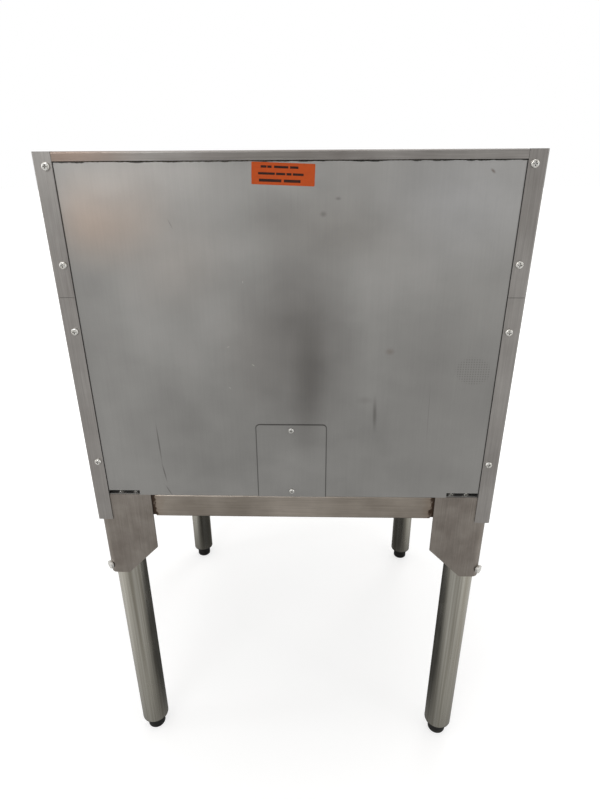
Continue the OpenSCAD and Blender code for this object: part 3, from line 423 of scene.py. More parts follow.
def oxidised_sheath(name, dark, warm):
    """Nickel-steel heating element tube, darkened by heat, with brown and grey patches."""
    material, tree, place = start_material(name)
    patches = drawn_noise(tree, place, (26.0, 26.0, 26.0), detail=4.0)
    scale = drawn_noise(tree, place, (1.2, 1.2, 1.2), detail=3.0)
    base = add_node(tree, "ShaderNodeMix", {0: patches, 6: dark, 7: warm}, data_type="RGBA").outputs[2]
    sharp = add_node(tree, "ShaderNodeMapRange", {0: patches, 1: 0.3, 2: 0.7, 3: 0.45, 4: 0.7})
    lift = add_node(tree, "ShaderNodeBump", {"Strength": 0.4, "Distance": 0.0002, "Height": scale})
    return finish_material(material, {
        "Base Color": base, "Metallic": 0.6, "Roughness": sharp, "Normal": lift})


def woven_fibre(name, light, dark, strand):
    """Braided glass-fibre seal or wool board: crossed strands with soft shadow between them."""
    material, tree, place = start_material(name)
    heights = []
    for axis, turn in (("X", 40.0), ("Z", -40.0)):
        turned = add_node(tree, "ShaderNodeMapping", {
            "Vector": place, "Rotation": (0.0, math.radians(turn), 0.0)})
        heights.append(add_node(tree, "ShaderNodeTexWave", {
            "Vector": turned, "Scale": 1 / (strand * 6.3 * MM), "Distortion": 1.5},
            wave_type="BANDS", bands_direction=axis).outputs["Fac"])
    weave = add_node(tree, "ShaderNodeMath", {0: heights[0], 1: heights[1]}, operation="MAXIMUM")
    base = add_node(tree, "ShaderNodeMix", {0: weave, 6: dark, 7: light}, data_type="RGBA").outputs[2]
    lift = add_node(tree, "ShaderNodeBump", {"Strength": 0.6, "Distance": 0.0005, "Height": weave})
    return finish_material(material, {"Base Color": base, "Roughness": 0.95, "Normal": lift})


def glazed_ceramic(name, pale, stained):
    """Steatite terminal body: off-white, slightly glossy, with a few brown heat stains."""
    material, tree, place = start_material(name)
    patches = drawn_noise(tree, place, (16.0, 16.0, 16.0), detail=4.0)
    where = add_node(tree, "ShaderNodeMapRange", {0: patches, 1: 0.55, 2: 0.8})
    base = stain(tree, pale, where, stained, 0.5)
    lift = add_node(tree, "ShaderNodeBump", {"Strength": 0.15, "Distance": 0.0004, "Height": patches})
    return finish_material(material, {"Base Color": base, "Roughness": 0.32, "Normal": lift})


def printed_vinyl(name, colour, faded):
    """Label vinyl and printing ink: a soft sheen, faded and scuffed in patches."""
    material, tree, place = start_material(name)
    patches = drawn_noise(tree, place, (9.0, 9.0, 5.0), detail=5.0)
    where = add_node(tree, "ShaderNodeMapRange", {0: patches, 1: 0.45, 2: 0.75})
    base = stain(tree, colour, where, faded, 0.4)
    sharp = add_node(tree, "ShaderNodeMapRange", {0: patches, 1: 0.3, 2: 0.7, 3: 0.38, 4: 0.55})
    return finish_material(material, {"Base Color": base, "Roughness": sharp, "Specular IOR Level": 0.25})


def tinge(material, centre, half, code, amount):
    """Adds one soft oval of colour to a finished material."""
    tree, shader, place, base = reexposedmaterial(material)
    mask = soft_spot(tree, place, centre, half, 0.0, 1.0)
    tree.links.new(stain(tree, base, mask, linear(code), amount), shader.inputs["Base Color"])


# ---- Mesh helpers ----

def deselect():
    """Leaves nothing selected, in object mode."""
    if bpy.context.object and bpy.context.object.mode != "OBJECT":
        bpy.ops.object.mode_set(mode="OBJECT")
    bpy.ops.object.select_all(action="DESELECT")


def pick(*pieces):
    """Selects only these pieces, the first of them active."""
    deselect()
    for piece in pieces:
        piece.select_set(True)
    bpy.context.view_layer.objects.active = pieces[0]


def settle(piece):
    """Puts a piece's place, turn and scale into its mesh."""
    pick(piece)
    bpy.ops.object.transform_apply(location=True, rotation=True, scale=True)


def break_edges(piece, offset, segments):
    """Bevels every edge of a new piece, by an offset in millimetres."""
    bpy.ops.object.mode_set(mode="EDIT")
    bpy.ops.mesh.select_all(action="SELECT")
    bpy.ops.mesh.bevel(offset=offset * MM, segments=segments, affect="EDGES")
    bpy.ops.object.mode_set(mode="OBJECT")
    return piece


def soften(piece, width, segments=2, angle=35.0):
    """Rounds a piece's sharp edges, and shades its curved faces smooth."""
    pick(piece)
    bevel = piece.modifiers.new("edge", "BEVEL")
    bevel.width = width
    bevel.segments = segments
    bevel.limit_method = "ANGLE"
    bevel.angle_limit = math.radians(angle)
    bpy.ops.object.modifier_apply(modifier=bevel.name)
    bpy.ops.object.shade_smooth_by_angle(angle=math.radians(angle))
    # The wide faces keep their own direction, so that only the rounding catches the light
    even = piece.modifiers.new("flat", "WEIGHTED_NORMAL")
    even.mode = "FACE_AREA"
    even.weight = 100
    even.keep_sharp = True
    bpy.ops.object.modifier_apply(modifier=even.name)


def give(piece, name, material, body):
    """Names a finished piece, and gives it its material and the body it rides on."""
    piece.name = name
    piece.data.name = name
    piece.data.materials.clear()
    piece.data.materials.append(material)
    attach(piece, body)
    return piece


def coat(node, material):
    """Gives a carried-over part its material, with its mesh as it is."""
    slots = frame["nodes"][node].data.materials
    slots.clear()
    slots.append(material)


def body_of_node(node):
    return frame["nodes"][node]["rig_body"]


def finished_copy(node, material, width):
    """A copy of a carried-over part with its edges rounded as a maker would break them."""
    pick(frame["nodes"][node])
    bpy.ops.object.duplicate()
    piece = bpy.context.view_layer.objects.active
    piece.parent = None
    piece.matrix_world = Matrix.Identity(4)
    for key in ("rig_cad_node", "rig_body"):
        del piece[key]
    bpy.ops.object.mode_set(mode="EDIT")
    bpy.ops.mesh.select_all(action="SELECT")
    bpy.ops.mesh.remove_doubles(threshold=1e-6)
    bpy.ops.mesh.customdata_custom_splitnormals_clear()
    bpy.ops.mesh.dissolve_limited(angle_limit=math.radians(0.2))
    bpy.ops.object.mode_set(mode="OBJECT")
    soften(piece, width)
    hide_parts(node)
    return give(piece, node + "_finished", material, body_of_node(node))


def block(size, centre, edge):
    """A block with rounded edges, its size and centre in millimetres."""
    deselect()
    bpy.ops.mesh.primitive_cube_add(size=1.0, location=[c * MM for c in centre])
    piece = bpy.context.object
    piece.scale = [s * MM for s in size]
    settle(piece)
    return break_edges(piece, edge, 2)


def turned_piece(sides, radius, foot, height, edge, segments=1):
    """An upright round or six-sided piece on the z axis with broken edges, in millimetres."""
    deselect()
    bpy.ops.mesh.primitive_cylinder_add(
        vertices=sides, radius=radius * MM, depth=height * MM, location=(0.0, 0.0, (foot + height / 2) * MM))
    return break_edges(bpy.context.object, edge, segments)


def copies(piece, moves):
    """Copies of a piece, each with its own mesh, each moved by a matrix. The piece itself is used up."""
    made = []
    for move in moves:
        pick(piece)
        bpy.ops.object.duplicate(linked=False)
        copy = bpy.context.view_layer.objects.active
        copy.matrix_world = move
        settle(copy)
        made.append(copy)
    bpy.data.objects.remove(piece)
    return made


def join(pieces):
    pick(*pieces)
    bpy.ops.object.join()
    return bpy.context.view_layer.objects.active


def move_mm(x, y, z):
    return Matrix.Translation((x * MM, y * MM, z * MM))


# ---- Settings ----

def colour_setting(name, description, code):
    """A colour that a user can change."""
    return bpy.props.FloatVectorProperty(
        name=name, description=description, subtype="COLOR", size=4, min=0.0, max=1.0, default=linear(code))


class OvenFinish(bpy.types.PropertyGroup):
    """Colours of the oven's finishes."""

    panel_light: colour_setting(
        "Panel, light", "Lighter tone of the satin stainless panels", "#AEABA8")
    panel_dark: colour_setting(
        "Panel, dark", "Darker tone of the satin stainless panels", "#9A9693")
    back_light: colour_setting(
        "Back, light", "Lighter tone of the zinc-coated back", "#B5B4B2")
    back_dark: colour_setting(
        "Back, dark", "Darker tone of the zinc-coated back", "#9E9D9B")
    bracket_light: colour_setting(
        "Bracket, light", "Lighter tone of the leg brackets", "#A39C95")
    bracket_dark: colour_setting(
        "Bracket, dark", "Darker tone of the leg brackets", "#8D857E")
    rail_light: colour_setting(
        "Rail, light", "Lighter tone of the stand rails", "#C0B7AD")
    rail_dark: colour_setting(
        "Rail, dark", "Darker tone of the stand rails", "#A1988E")
    tube_light: colour_setting(
        "Tube, light", "Lighter tone of the leg tubes and handles", "#D3D1C8")
    tube_dark: colour_setting(
        "Tube, dark", "Darker tone of the leg tubes and handles", "#A29D90")
    label: colour_setting(
        "Label", "Ground colour of the rear label", "#C2501A")


class OvenSizes(bpy.types.PropertyGroup):
    """Sizes of the fine detail."""

    sheet_edge: bpy.props.FloatProperty(
        name="Sheet edge", description="Rounding of a cut sheet's edges", unit="LENGTH",
        default=0.00025, min=0.00005, max=0.0005)
    fastener_edge: bpy.props.FloatProperty(
        name="Fastener edge",
        description="Bevel of the leg bolts, and half of it on the hinge pins", unit="LENGTH",
        default=0.0009, min=0.0001, max=0.0015)
    label_w: bpy.props.FloatProperty(
        name="Label width", description="Width of the rear label", unit="LENGTH",
        default=0.076, min=0.03, max=0.12)
    label_h: bpy.props.FloatProperty(
        name="Label height", description="Height of the rear label", unit="LENGTH",
        default=0.025, min=0.015, max=0.05)
    dial_step: bpy.props.IntProperty(
        name="Dial step", description="Degrees between the numbers of a thermostat dial",
        default=50, min=25, max=100)


class OvenStage(bpy.types.PropertyGroup):
    """Floor, light and camera."""

    floor_size: bpy.props.FloatProperty(
        name="Floor", description="Length of the floor's side", unit="LENGTH",
        default=40.0, min=4.0, max=100.0)
    floor_middle: bpy.props.FloatProperty(
        name="Floor, middle",
        description="Strength of the floor's mirrored light before and behind the oven",
        default=0.42, min=0.0, max=2.0)
    floor_sides: bpy.props.FloatProperty(
        name="Floor, sides", description="Strength of the floor's mirrored light beside the oven",
        default=0.68, min=0.0, max=2.0)
    room_light: bpy.props.FloatProperty(
        name="Room light", description="Strength of the soft light from all round",
        default=0.62, min=0.1, max=3.0)
    lens: bpy.props.FloatProperty(
        name="Lens", description="Focal length of the camera in millimetres",
        default=24.66, min=10.0, max=100.0)


# ---- Operators ----

class OVEN_OT_cabinet(bpy.types.Operator):
    """Finish the side panels, the top cover, the back with its access cover, and the sheets inside"""

    bl_idname = "oven.cabinet"
    bl_label = "Cabinet sheets"

    def execute(self, context):
        finish, sizes = context.scene.oven_finish, context.scene.oven_sizes
        upright = satin_steel(
            "satin_stainless_upright_grain", finish.panel_light, finish.panel_dark, 1.4, Z_AXIS)
        level = satin_steel(
            "satin_stainless_level_grain", finish.panel_light, finish.panel_dark, 1.4, X_AXIS,
            (0.36, 0.48), 55.0)
        back = zinc_back_sheet("zinc_sheet_handled_with_painted_light", finish.back_light, finish.back_dark, True)
        inner = zinc_back_sheet("zinc_sheet_clean", finish.back_light, finish.back_dark, False)
        for side in ("left", "right"):
            for level_name in ("lower", "upper"):
                finished_copy(f"side_panel_{side}_{level_name}", upright, sizes.sheet_edge)
        # The rear edge is warm at one end and dull in the middle
        tinge(level, (262, 1027), (110, 30), "#A98B78", 0.55)
        tinge(level, (0, 1027), (150, 30), "#77716C", 0.5)
        finished_copy("top_cover", level, sizes.sheet_edge)
        for node in ("back_panel", "access_cover"):
            finished_copy(node, back, 0.6 * sizes.sheet_edge)
        finished_copy("base_pan", inner, sizes.sheet_edge)
        for node in ("corner_posts", "heat_shield"):
            coat(node, inner)
        return {"FINISHED"}


class OVEN_OT_stand(bpy.types.Operator):
    """Finish the leg tubes, the brackets, the rails, the plugs and the levelling feet"""

    bl_idname = "oven.stand"
    bl_label = "Stand"

    def execute(self, context):
        finish, sizes = context.scene.oven_finish, context.scene.oven_sizes
        tube = drawn_tube("stainless_tube_drawn", finish.tube_light, finish.tube_dark)
        plate = satin_steel(
            "satin_stainless_bracket", finish.bracket_light, finish.bracket_dark, 1.6, Z_AXIS,
            (0.36, 0.5), 30.0)
        rail = heat_tinted_steel(
            "satin_stainless_rail", finish.rail_light, finish.rail_dark, 1.6, X_AXIS, (196.0, 211.0))
        side_rail = satin_steel(
            "satin_stainless_side_rail", finish.rail_light, finish.rail_dark, 1.6, Y_AXIS, (0.36, 0.5), 30.0)
        nylon = moulded_black("nylon_foot_moulded", linear("#121212"), 0.9, 0.5, 0.15)
        for corner in CORNERS:
            finished_copy(f"leg_tube_{corner}", tube, sizes.sheet_edge)
            finished_copy(f"leg_bracket_{corner}", plate, sizes.sheet_edge)
            finished_copy(f"foot_{corner}", nylon, sizes.sheet_edge)
        for end in ("front", "rear"):
            finished_copy(f"stand_rail_{end}", rail, sizes.sheet_edge)
        for side in ("left", "right"):
            finished_copy(f"stand_rail_{side}", side_rail, sizes.sheet_edge)
        finished_copy("leg_plugs", nylon, 0.0006)
        return {"FINISHED"}


class OVEN_OT_fasteners(bpy.types.Operator):
    """Finish the leg bolts and flange screws, and add the small nuts that hold the base pan"""

    bl_idname = "oven.fasteners"
    bl_label = "Fasteners"

    def execute(self, context):
        sizes = context.scene.oven_sizes
        zinc = bright_zinc("zinc_plated_steel", linear("#FAFAF8"), linear("#D6D3CC"))
        for node in ("leg_bolts", "rear_screws"):
            finished_copy(node, zinc, sizes.fastener_edge if node == "leg_bolts" else 0.0001)
        # An M6 nut with its washer and thread end, standing on the base pan
        sheet, washer_t = 1.2, 1.2
        pan_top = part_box("back_panel")[0].z / MM + sheet
        nut = turned_piece(6, 5.77, washer_t, 5.0, 0.5, 2)
        washer = turned_piece(32, 6.2, 0.0, washer_t, 0.25)
        thread = turned_piece(24, 3.0, 0.0, 7.6, 0.5)
        fixing = join([nut, washer, thread])
        settle(fixing)
        bpy.ops.object.shade_smooth_by_angle(angle=math.radians(35.0))
        inset, across = 11, (243.0, 266.0)
        rear, front = PANEL_Y / MM - inset, PANEL_FRONT_Y / MM + inset
        places = [(side * x, y) for side in (-1, 1) for x in across for y in (rear, front)]
        fixings = join(copies(fixing, [move_mm(x, y, pan_top) for x, y in places]))
        give(fixings, "base_pan_fixings", zinc, "cabinet")
        return {"FINISHED"}


class OVEN_OT_rear_label(bpy.types.Operator):
    """Make the orange label at the top of the back panel, with plain bars in place of words"""

    bl_idname = "oven.rear_label"
    bl_label = "Rear label"

    def execute(self, context):
        finish, sizes = context.scene.oven_finish, context.scene.oven_sizes
        vinyl = printed_vinyl("label_vinyl_orange", finish.label, linear("#A8471C"))
        ink = printed_vinyl("label_ink_dark", linear("#2A1712"), linear("#5A2C18"))
        lean = Matrix.Rotation(math.radians(-2.3), 4, "Y")
        spot = move_mm(5.4, PANEL_Y / MM, PANEL_TOP / MM - 14.3) @ lean
        deselect()
        bpy.ops.mesh.primitive_plane_add(size=1.0, rotation=(-math.pi / 2, 0.0, 0.0))
        label = bpy.context.object
        label.scale = (sizes.label_w, sizes.label_h, 1.0)
        settle(label)
        bpy.ops.object.mode_set(mode="EDIT")
        bpy.ops.mesh.select_all(action="SELECT")
        bpy.ops.mesh.bevel(offset=1.2 * MM, segments=4, affect="VERTICES")
        bpy.ops.mesh.extrude_region_move(TRANSFORM_OT_translate={"value": (0.0, 0.12 * MM, 0.0)})
        bpy.ops.mesh.select_all(action="SELECT")
        bpy.ops.mesh.normals_make_consistent(inside=False)
        bpy.ops.object.mode_set(mode="OBJECT")
        label.matrix_world = spot
        settle(label)
        give(label, "rear_label", vinyl, "cabinet")
        # Rows of bars, each as its height above the middle, how tall it is, and each bar's start and length
        rows = (
            (7.6, 2.6, ((-27, 7), (-19, 5), (-11, 17), (8, 10))),
            (0.0, 2.6, ((-30, 20), (-8.5, 11), (4, 6), (11.5, 13))),
            (-7.6, 3.2, ((-29, 27), (1, 20))),
        )
        bars = [
            block((length, 0.14, tall), (-(start + length / 2), 0.13, up), 0.05)
            for up, tall, row in rows for start, length in row]
        words = join(bars)
        words.matrix_world = spot
        settle(words)
        give(words, "rear_label_print", ink, "cabinet")
        return {"FINISHED"}


class OVEN_OT_front(bpy.types.Operator):
    """Finish the fascia and the control panel"""

    bl_idname = "oven.front"
    bl_label = "Front sheets"

    def execute(self, context):
        finish, sizes = context.scene.oven_finish, context.scene.oven_sizes
        level = satin_steel(
            "satin_stainless_front", finish.panel_light, finish.panel_dark, 1.2, X_AXIS, (0.28, 0.38))
        for node in ("front_fascia", "control_panel"):
            finished_copy(node, level, sizes.sheet_edge)
        return {"FINISHED"}


class OVEN_OT_doors(bpy.types.Operator):
    """Finish each door with its liner, glass, seal, pins and handle, and add its window trim"""

    bl_idname = "oven.doors"
    bl_label = "Doors"

    def execute(self, context):
        finish, sizes = context.scene.oven_finish, context.scene.oven_sizes
        skin = satin_steel(
            "satin_stainless_door", finish.panel_light, finish.panel_dark, 1.2, X_AXIS, (0.24, 0.34))
        trim_steel = satin_steel(
            "satin_stainless_trim", linear("#CFCCC8"), linear("#B3AFAA"), 1.0, X_AXIS, (0.16, 0.26))
        bar = satin_steel(
            "satin_stainless_handle", finish.tube_light, finish.panel_dark, 1.0, X_AXIS, (0.2, 0.3))
        liner = spangled_steel("aluminised_steel_liner", linear("#C2C1BE"), linear("#A5A39F"))
        glass = oven_glass("oven_glass_tempered", linear("#D9D6CE"))
        seal = woven_fibre("glass_fibre_braid", linear("#8D8B84"), linear("#4C4B47"), 1.5)
        pin = bright_zinc("zinc_plated_pin", linear("#DADBDA"), linear("#ADA9A1"))
        for deck in DECKS:
            finished_copy(f"{deck}_door_shell", skin, 0.0006)
            finished_copy(f"{deck}_door_liner", liner, sizes.sheet_edge)
            finished_copy(f"{deck}_door_glass", glass, 0.0005)
            finished_copy(f"{deck}_door_handle", bar, 0.0016)
            finished_copy(f"{deck}_hinge_pins", pin, 0.5 * sizes.fastener_edge)
            finished_copy(f"{deck}_gasket", seal, 0.0005)
            self.window_trim(deck, trim_steel)
        return {"FINISHED"}

    def window_trim(self, deck, steel):
        """A raised rim round the window."""
        low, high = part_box(f"{deck}_door_glass")
        lap, rim, rise = 8 * MM, 7 * MM, 1.4 * MM
        face_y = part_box(f"{deck}_door_shell")[0].y
        deselect()
        bpy.ops.mesh.primitive_plane_add(
            size=1.0, rotation=(math.pi / 2, 0.0, 0.0), location=(0.0, face_y, (low.z + high.z) / 2))
        trim = bpy.context.object
        trim.scale = (high.x - low.x - 2 * lap + 2 * rim, high.z - low.z - 2 * lap + 2 * rim, 1.0)
        settle(trim)
        bpy.ops.object.mode_set(mode="EDIT")
        bpy.ops.mesh.select_all(action="SELECT")
        bpy.ops.mesh.bevel(offset=15 * MM, segments=8, affect="VERTICES")
        bpy.ops.mesh.inset(thickness=rim)
        bpy.ops.mesh.delete(type="FACE")
        bpy.ops.mesh.select_all(action="SELECT")
        bpy.ops.mesh.extrude_region_move(TRANSFORM_OT_translate={"value": (0.0, -rise, 0.0)})
        bpy.ops.mesh.select_all(action="SELECT")
        bpy.ops.mesh.normals_make_consistent(inside=False)
        bpy.ops.object.mode_set(mode="OBJECT")
        soften(trim, 0.0005)
        give(trim, f"{deck}_window_trim", steel, f"{deck}_door")


class OVEN_OT_controls(bpy.types.Operator):
    """Finish the knobs, rockers and lamps, and add their dials, pointers and marks"""

    bl_idname = "oven.controls"
    bl_label = "Controls"

    def execute(self, context):
        sizes = context.scene.oven_sizes
        knob = moulded_black("thermoset_knob_moulded", linear("#171717"), 0.7, 0.34, 0.08)
        housing = moulded_black("thermoset_bezel_moulded", linear("#1B1B1B"), 0.6, 0.3, 0.06)
        rocker = glossy_plastic("green_rocker_moulded", linear("#1F8A4C"), linear("#0E5A2E"), 0.16, 0.25)
        lens = glossy_plastic("amber_lens_moulded", linear("#F0A030"), linear("#B4660E"), 0.1, 0.55)
        ink = printed_vinyl("panel_ink_black", linear("#1A1A1A"), linear("#3A3A3A"))
        white = printed_vinyl("pointer_ink_white", linear("#ECEAE4"), linear("#C9C6BE"))
        ceramic = glazed_ceramic("steatite_body", linear("#DAD5C8"), linear("#9B8468"))
        finished_copy("rocker_housings", housing, 0.0005)
        finished_copy("indicator_lamps", lens, 0.0003)
        finished_copy("thermostat_bodies", ceramic, 0.0005)
        for deck in DECKS:
            finished_copy(f"{deck}_thermostat_knob", knob, 0.0009)
            finished_copy(f"{deck}_power_rocker", rocker, 0.0004)
            self.dial(deck, ink, sizes.dial_step)
            self.pointer(deck, white)
            self.rocker_marks(deck, white)
        return {"FINISHED"}

    def dial(self, deck, ink, step):
        """Ticks every 10 degrees and numbers round the knob, printed on the panel."""
        low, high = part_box(f"{deck}_thermostat_knob")
        centre = ((low.x + high.x) / 2 / MM, PANEL_FRONT_Y / MM, (low.z + high.z) / 2 / MM)
        knob_r = (high.x - low.x) / 2 / MM
        thick = 0.1
        tick = block((0.7, thick, 2.2), (0.0, -thick / 2, knob_r + 3.4), 0.03)
        turns = [
            move_mm(*centre) @ Matrix.Rotation(math.radians(t), 4, "Y") for t in range(0, 301, 10)]
        parts = copies(tick, turns)
        for degrees in range(0, 301, step):
            deselect()
            angle = math.radians(degrees)
            bpy.ops.object.text_add(rotation=(math.pi / 2, 0.0, 0.0))
            number = bpy.context.object
            number.data.body = str(degrees)
            number.data.size = 5.2 * MM
            number.data.extrude = thick / 2 * MM
            number.data.align_x, number.data.align_y = "CENTER", "CENTER"
            bpy.ops.object.convert(target="MESH")
            number.location = (
                centre[0] * MM + math.sin(angle) * (knob_r + 9.5) * MM,
                centre[1] * MM - thick / 2 * MM,
                centre[2] * MM + math.cos(angle) * (knob_r + 8.6) * MM)
            settle(number)
            parts.append(number)
        give(join(parts), f"{deck}_dial_print", ink, "cabinet")

    def pointer(self, deck, white):
        """White line on the knob's grip, pointing up at 0."""
        low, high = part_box(f"{deck}_thermostat_knob")
        middle = ((low.x + high.x) / 2 / MM, (low.z + high.z) / 2 / MM)
        line = block((1.6, 0.2, 15.0), (middle[0], low.y / MM - 0.05, middle[1] + 11.5), 0.06)
        give(line, f"{deck}_knob_pointer", white, f"{deck}_thermostat_knob")

    def rocker_marks(self, deck, white):
        """A bar on the rocker's level half and a ring on the half that stands out."""
        low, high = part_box(f"{deck}_power_rocker")
        panel_low, panel_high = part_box("control_panel")
        x, z = (low.x + high.x) / 2, (panel_low.z + panel_high.z) / 2
        bar = block((0.9, 0.12, 4.2), (x / MM, PANEL_FRONT_Y / MM - 0.49, z / MM + 6.9), 0.04)
        deselect()
        bpy.ops.mesh.primitive_torus_add(
            major_segments=32, minor_segments=8, major_radius=1.9 * MM, minor_radius=0.42 * MM)
        ring = bpy.context.object
        ring.scale = (1.0, 1.0, 0.15)
        settle(ring)
        # The half that stands out leans by the rocker's 16 degrees of travel
        lean = Matrix.Rotation(math.radians(90.0 - 16.0), 4, "X")
        ring.matrix_world = Matrix.Translation((x, PANEL_FRONT_Y - 2.15 * MM, z - 5.4 * MM)) @ lean
        settle(ring)
        bpy.ops.object.shade_smooth_by_angle(angle=math.radians(40.0))
        give(join([bar, ring]), f"{deck}_rocker_marks", white, f"{deck}_power_rocker")


class OVEN_OT_decks(bpy.types.Operator):
    """Finish the baking chambers, the stones, the heating elements and the insulation"""

    bl_idname = "oven.decks"
    bl_label = "Decks"

    def execute(self, context):
        sizes = context.scene.oven_sizes
        chamber = spangled_steel("aluminised_steel_chamber", linear("#BDBBB6"), linear("#9E9B94"))
        stone = baking_stone("cordierite_stone", linear("#C9B394"), linear("#6E5238"))
        sheath = oxidised_sheath("element_sheath_oxidised", linear("#2B2826"), linear("#5A4A3C"))
        wool = woven_fibre("mineral_wool_board", linear("#C7BC93"), linear("#8D8260"), 2.5)
        for deck in DECKS:
            finished_copy(f"{deck}_chamber", chamber, sizes.sheet_edge)
            finished_copy(f"{deck}_stone", stone, 0.0015)
            for node, material in ((f"{deck}_elements", sheath), (f"{deck}_insulation", wool)):
                coat(node, material)
        return {"FINISHED"}


class OVEN_OT_electrics(bpy.types.Operator):
    """Finish the cable gland and the terminal block"""

    bl_idname = "oven.electrics"
    bl_label = "Electrics"

    def execute(self, context):
        nylon = moulded_black("nylon_gland_moulded", linear("#232323"), 0.8, 0.42, 0.1)
        ceramic = glazed_ceramic("steatite_terminals", linear("#E0DCD0"), linear("#A08A6C"))
        finished_copy("cable_gland", nylon, 0.0006)
        finished_copy("terminal_block", ceramic, 0.0005)
        return {"FINISHED"}


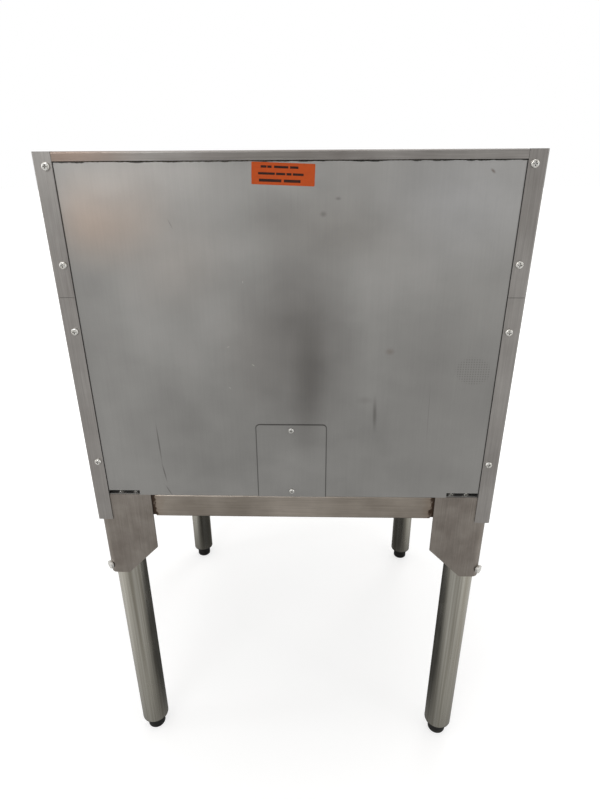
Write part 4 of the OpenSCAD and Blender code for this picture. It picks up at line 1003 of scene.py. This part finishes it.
class OVEN_OT_stage(bpy.types.Operator):
    """Set the floor, the light and the camera"""

    bl_idname = "oven.stage"
    bl_label = "Stage"

    def execute(self, context):
        scene, stage = context.scene, context.scene.oven_stage
        scene.view_settings.view_transform = "Standard"
        self.floor(stage.floor_size, stage.floor_middle, stage.floor_sides)
        self.room(scene, stage.room_light)
        for name, place, aim, size, power in (
            ("key_rear", (1.4, 3.2, 2.6), (0.0, 0.3, 0.8), (1.6, 1.6), 26.0),
            ("fill_left", (2.8, 0.6, 1.5), (0.0, 0.0, 0.6), (0.5, 2.4), 9.0),
            ("fill_right", (-2.6, 1.8, 1.3), (0.0, 0.2, 0.5), (0.4, 2.2), 5.0),
            ("key_front", (-1.4, -3.0, 2.4), (0.0, -0.2, 0.7), (1.6, 1.6), 26.0),
            ("over", (0.0, 0.0, 3.4), (0.0, 0.0, 0.0), (2.4, 2.4), 20.0),
        ):
            self.soft_box(name, place, aim, size, power)
        eye = bpy.data.cameras.new("camera")
        eye.lens = stage.lens
        eye.sensor_width = 36.0
        camera = bpy.data.objects.new("camera", eye)
        scene.collection.objects.link(camera)
        camera.location = (-0.03275, 1.02942, 1.02386)
        camera.rotation_euler = [math.radians(turn) for turn in (66.1163, 0.3142, -178.5438)]
        scene.camera = camera
        return {"FINISHED"}

    def floor(self, size, middle, sides):
        """A pale floor that reads as white paper. Metal mirrors it duller in the middle than at the
        sides, and dark under the oven."""
        deselect()
        bpy.ops.mesh.primitive_plane_add(size=size, location=(0.0, 0.0, -0.0005))
        floor = bpy.context.object
        floor.name = "floor"
        paper = bpy.data.materials.new("floor_paper")
        paper.use_nodes = True
        tree = paper.node_tree
        tree.nodes.clear()
        place = add_node(tree, "ShaderNodeTexCoord").outputs["Object"]
        far = add_node(tree, "ShaderNodeVectorMath", {0: place}, operation="LENGTH")
        glow = add_node(tree, "ShaderNodeMapRange", {
            0: far.outputs["Value"], 1: 0.2, 2: 1.3, 3: 0.63, 4: 0.95}, interpolation_type="SMOOTHSTEP")
        seen = add_node(tree, "ShaderNodeBsdfPrincipled", {
            "Base Color": (0.45, 0.45, 0.45, 1.0), "Roughness": 0.9,
            "Emission Color": (1.0, 1.0, 1.0, 1.0), "Emission Strength": glow})
        split = add_node(tree, "ShaderNodeSeparateXYZ", {0: place})
        out = add_node(tree, "ShaderNodeMath", {0: split.outputs["X"]}, operation="ABSOLUTE")
        side = add_node(tree, "ShaderNodeMapRange", {
            0: out, 1: 0.3, 2: 0.75, 3: middle, 4: sides}, interpolation_type="SMOOTHSTEP")
        # What the legs mirror under the oven is dark, which gives them their dark inner edges
        footprint = add_node(tree, "ShaderNodeVectorMath", {
            0: place, 1: (3.1, 2.6, 0.0)}, operation="MULTIPLY")
        from_middle = add_node(tree, "ShaderNodeVectorMath", {0: footprint}, operation="LENGTH")
        shade = add_node(tree, "ShaderNodeMapRange", {
            0: from_middle.outputs["Value"], 1: 0.75, 2: 1.5, 3: 0.15, 4: 1.0},
            interpolation_type="SMOOTHSTEP")
        strength = add_node(tree, "ShaderNodeMath", {0: side, 1: shade}, operation="MULTIPLY")
        lit = add_node(tree, "ShaderNodeEmission", {
            "Color": (1.0, 0.99, 0.97, 1.0), "Strength": strength})
        path = add_node(tree, "ShaderNodeLightPath")
        both = add_node(tree, "ShaderNodeMixShader", {0: path.outputs["Is Camera Ray"], 1: lit, 2: seen})
        add_node(tree, "ShaderNodeOutputMaterial", {"Surface": both})
        floor.data.materials.append(paper)

    def room(self, scene, strength):
        """White behind the object, and a soft grey room with slow light and dark bands for the metal."""
        world = bpy.data.worlds.new("room")
        scene.world = world
        world.use_nodes = True
        tree = world.node_tree
        tree.nodes.clear()
        way = add_node(tree, "ShaderNodeTexCoord").outputs["Generated"]
        split = add_node(tree, "ShaderNodeSeparateXYZ", {0: way})
        height = add_node(tree, "ShaderNodeMapRange", {
            0: split.outputs["Z"], 1: -0.5, 2: 0.35, 3: 0.45, 4: 1.0})
        out = add_node(tree, "ShaderNodeMath", {0: split.outputs["X"]}, operation="ABSOLUTE")
        side = add_node(tree, "ShaderNodeMapRange", {0: out, 1: 0.25, 2: 0.9, 3: 0.75, 4: 1.25})
        drawn = add_node(tree, "ShaderNodeMapping", {"Vector": way, "Scale": (2.6, 2.6, 0.5)})
        bands = add_node(tree, "ShaderNodeTexNoise", {"Vector": drawn, "Scale": 1.0, "Detail": 2.0})
        streak = add_node(tree, "ShaderNodeMapRange", {0: bands, 1: 0.35, 2: 0.65, 3: 0.6, 4: 1.4})
        level = add_node(tree, "ShaderNodeMath", {0: height, 1: streak}, operation="MULTIPLY")
        level = add_node(tree, "ShaderNodeMath", {0: level, 1: side}, operation="MULTIPLY")
        power = add_node(tree, "ShaderNodeMath", {0: level, 1: strength}, operation="MULTIPLY")
        soft = add_node(tree, "ShaderNodeBackground", {
            "Color": (1.0, 0.985, 0.96, 1.0), "Strength": power})
        white = add_node(tree, "ShaderNodeBackground", {"Color": (1.0, 1.0, 1.0, 1.0), "Strength": 1.0})
        path = add_node(tree, "ShaderNodeLightPath")
        both = add_node(tree, "ShaderNodeMixShader", {
            0: path.outputs["Is Camera Ray"], 1: soft, 2: white})
        add_node(tree, "ShaderNodeOutputWorld", {"Surface": both})

    def soft_box(self, name, place, aim, size, power):
        """A rectangular soft light that isn't seen itself."""
        data = bpy.data.lights.new(name, "AREA")
        data.shape = "RECTANGLE"
        data.size, data.size_y = size
        data.energy = power
        lamp = bpy.data.objects.new(name, data)
        bpy.context.scene.collection.objects.link(lamp)
        lamp.visible_camera = False
        lamp.location = place
        way = Vector(aim) - lamp.location
        lamp.rotation_euler = way.to_track_quat("-Z", "Y").to_euler()


class OVEN_PT_panel(bpy.types.Panel):
    """Lists the oven's pieces and their settings"""

    bl_idname = "OVEN_PT_panel"
    bl_label = "Deck oven"
    bl_space_type = "VIEW_3D"
    bl_region_type = "UI"
    bl_category = "Deck oven"

    def draw(self, context):
        layout = self.layout
        for step in STEPS:
            layout.operator(step.bl_idname)
        for group in (context.scene.oven_finish, context.scene.oven_sizes, context.scene.oven_stage):
            box = layout.box()
            for name in type(group).__annotations__:
                box.prop(group, name)


STEPS = (
    OVEN_OT_cabinet, OVEN_OT_stand, OVEN_OT_fasteners, OVEN_OT_rear_label, OVEN_OT_front,
    OVEN_OT_doors, OVEN_OT_controls, OVEN_OT_decks, OVEN_OT_electrics, OVEN_OT_stage,
)
GROUPS = {"oven_finish": OvenFinish, "oven_sizes": OvenSizes, "oven_stage": OvenStage}


def register():
    for group in GROUPS.values():
        bpy.utils.register_class(group)
    for name, group in GROUPS.items():
        setattr(bpy.types.Scene, name, bpy.props.PointerProperty(type=group))
    for item in (*STEPS, OVEN_PT_panel):
        bpy.utils.register_class(item)


def unregister():
    for item in (OVEN_PT_panel, *reversed(STEPS)):
        bpy.utils.unregister_class(item)
    for name in GROUPS:
        delattr(bpy.types.Scene, name)
    for group in GROUPS.values():
        bpy.utils.unregister_class(group)


def main():
    register()
    for step in STEPS:
        area, name = step.bl_idname.split(".")
        getattr(getattr(bpy.ops, area), name)()
    deselect()


if __name__ == "__main__":
    main()
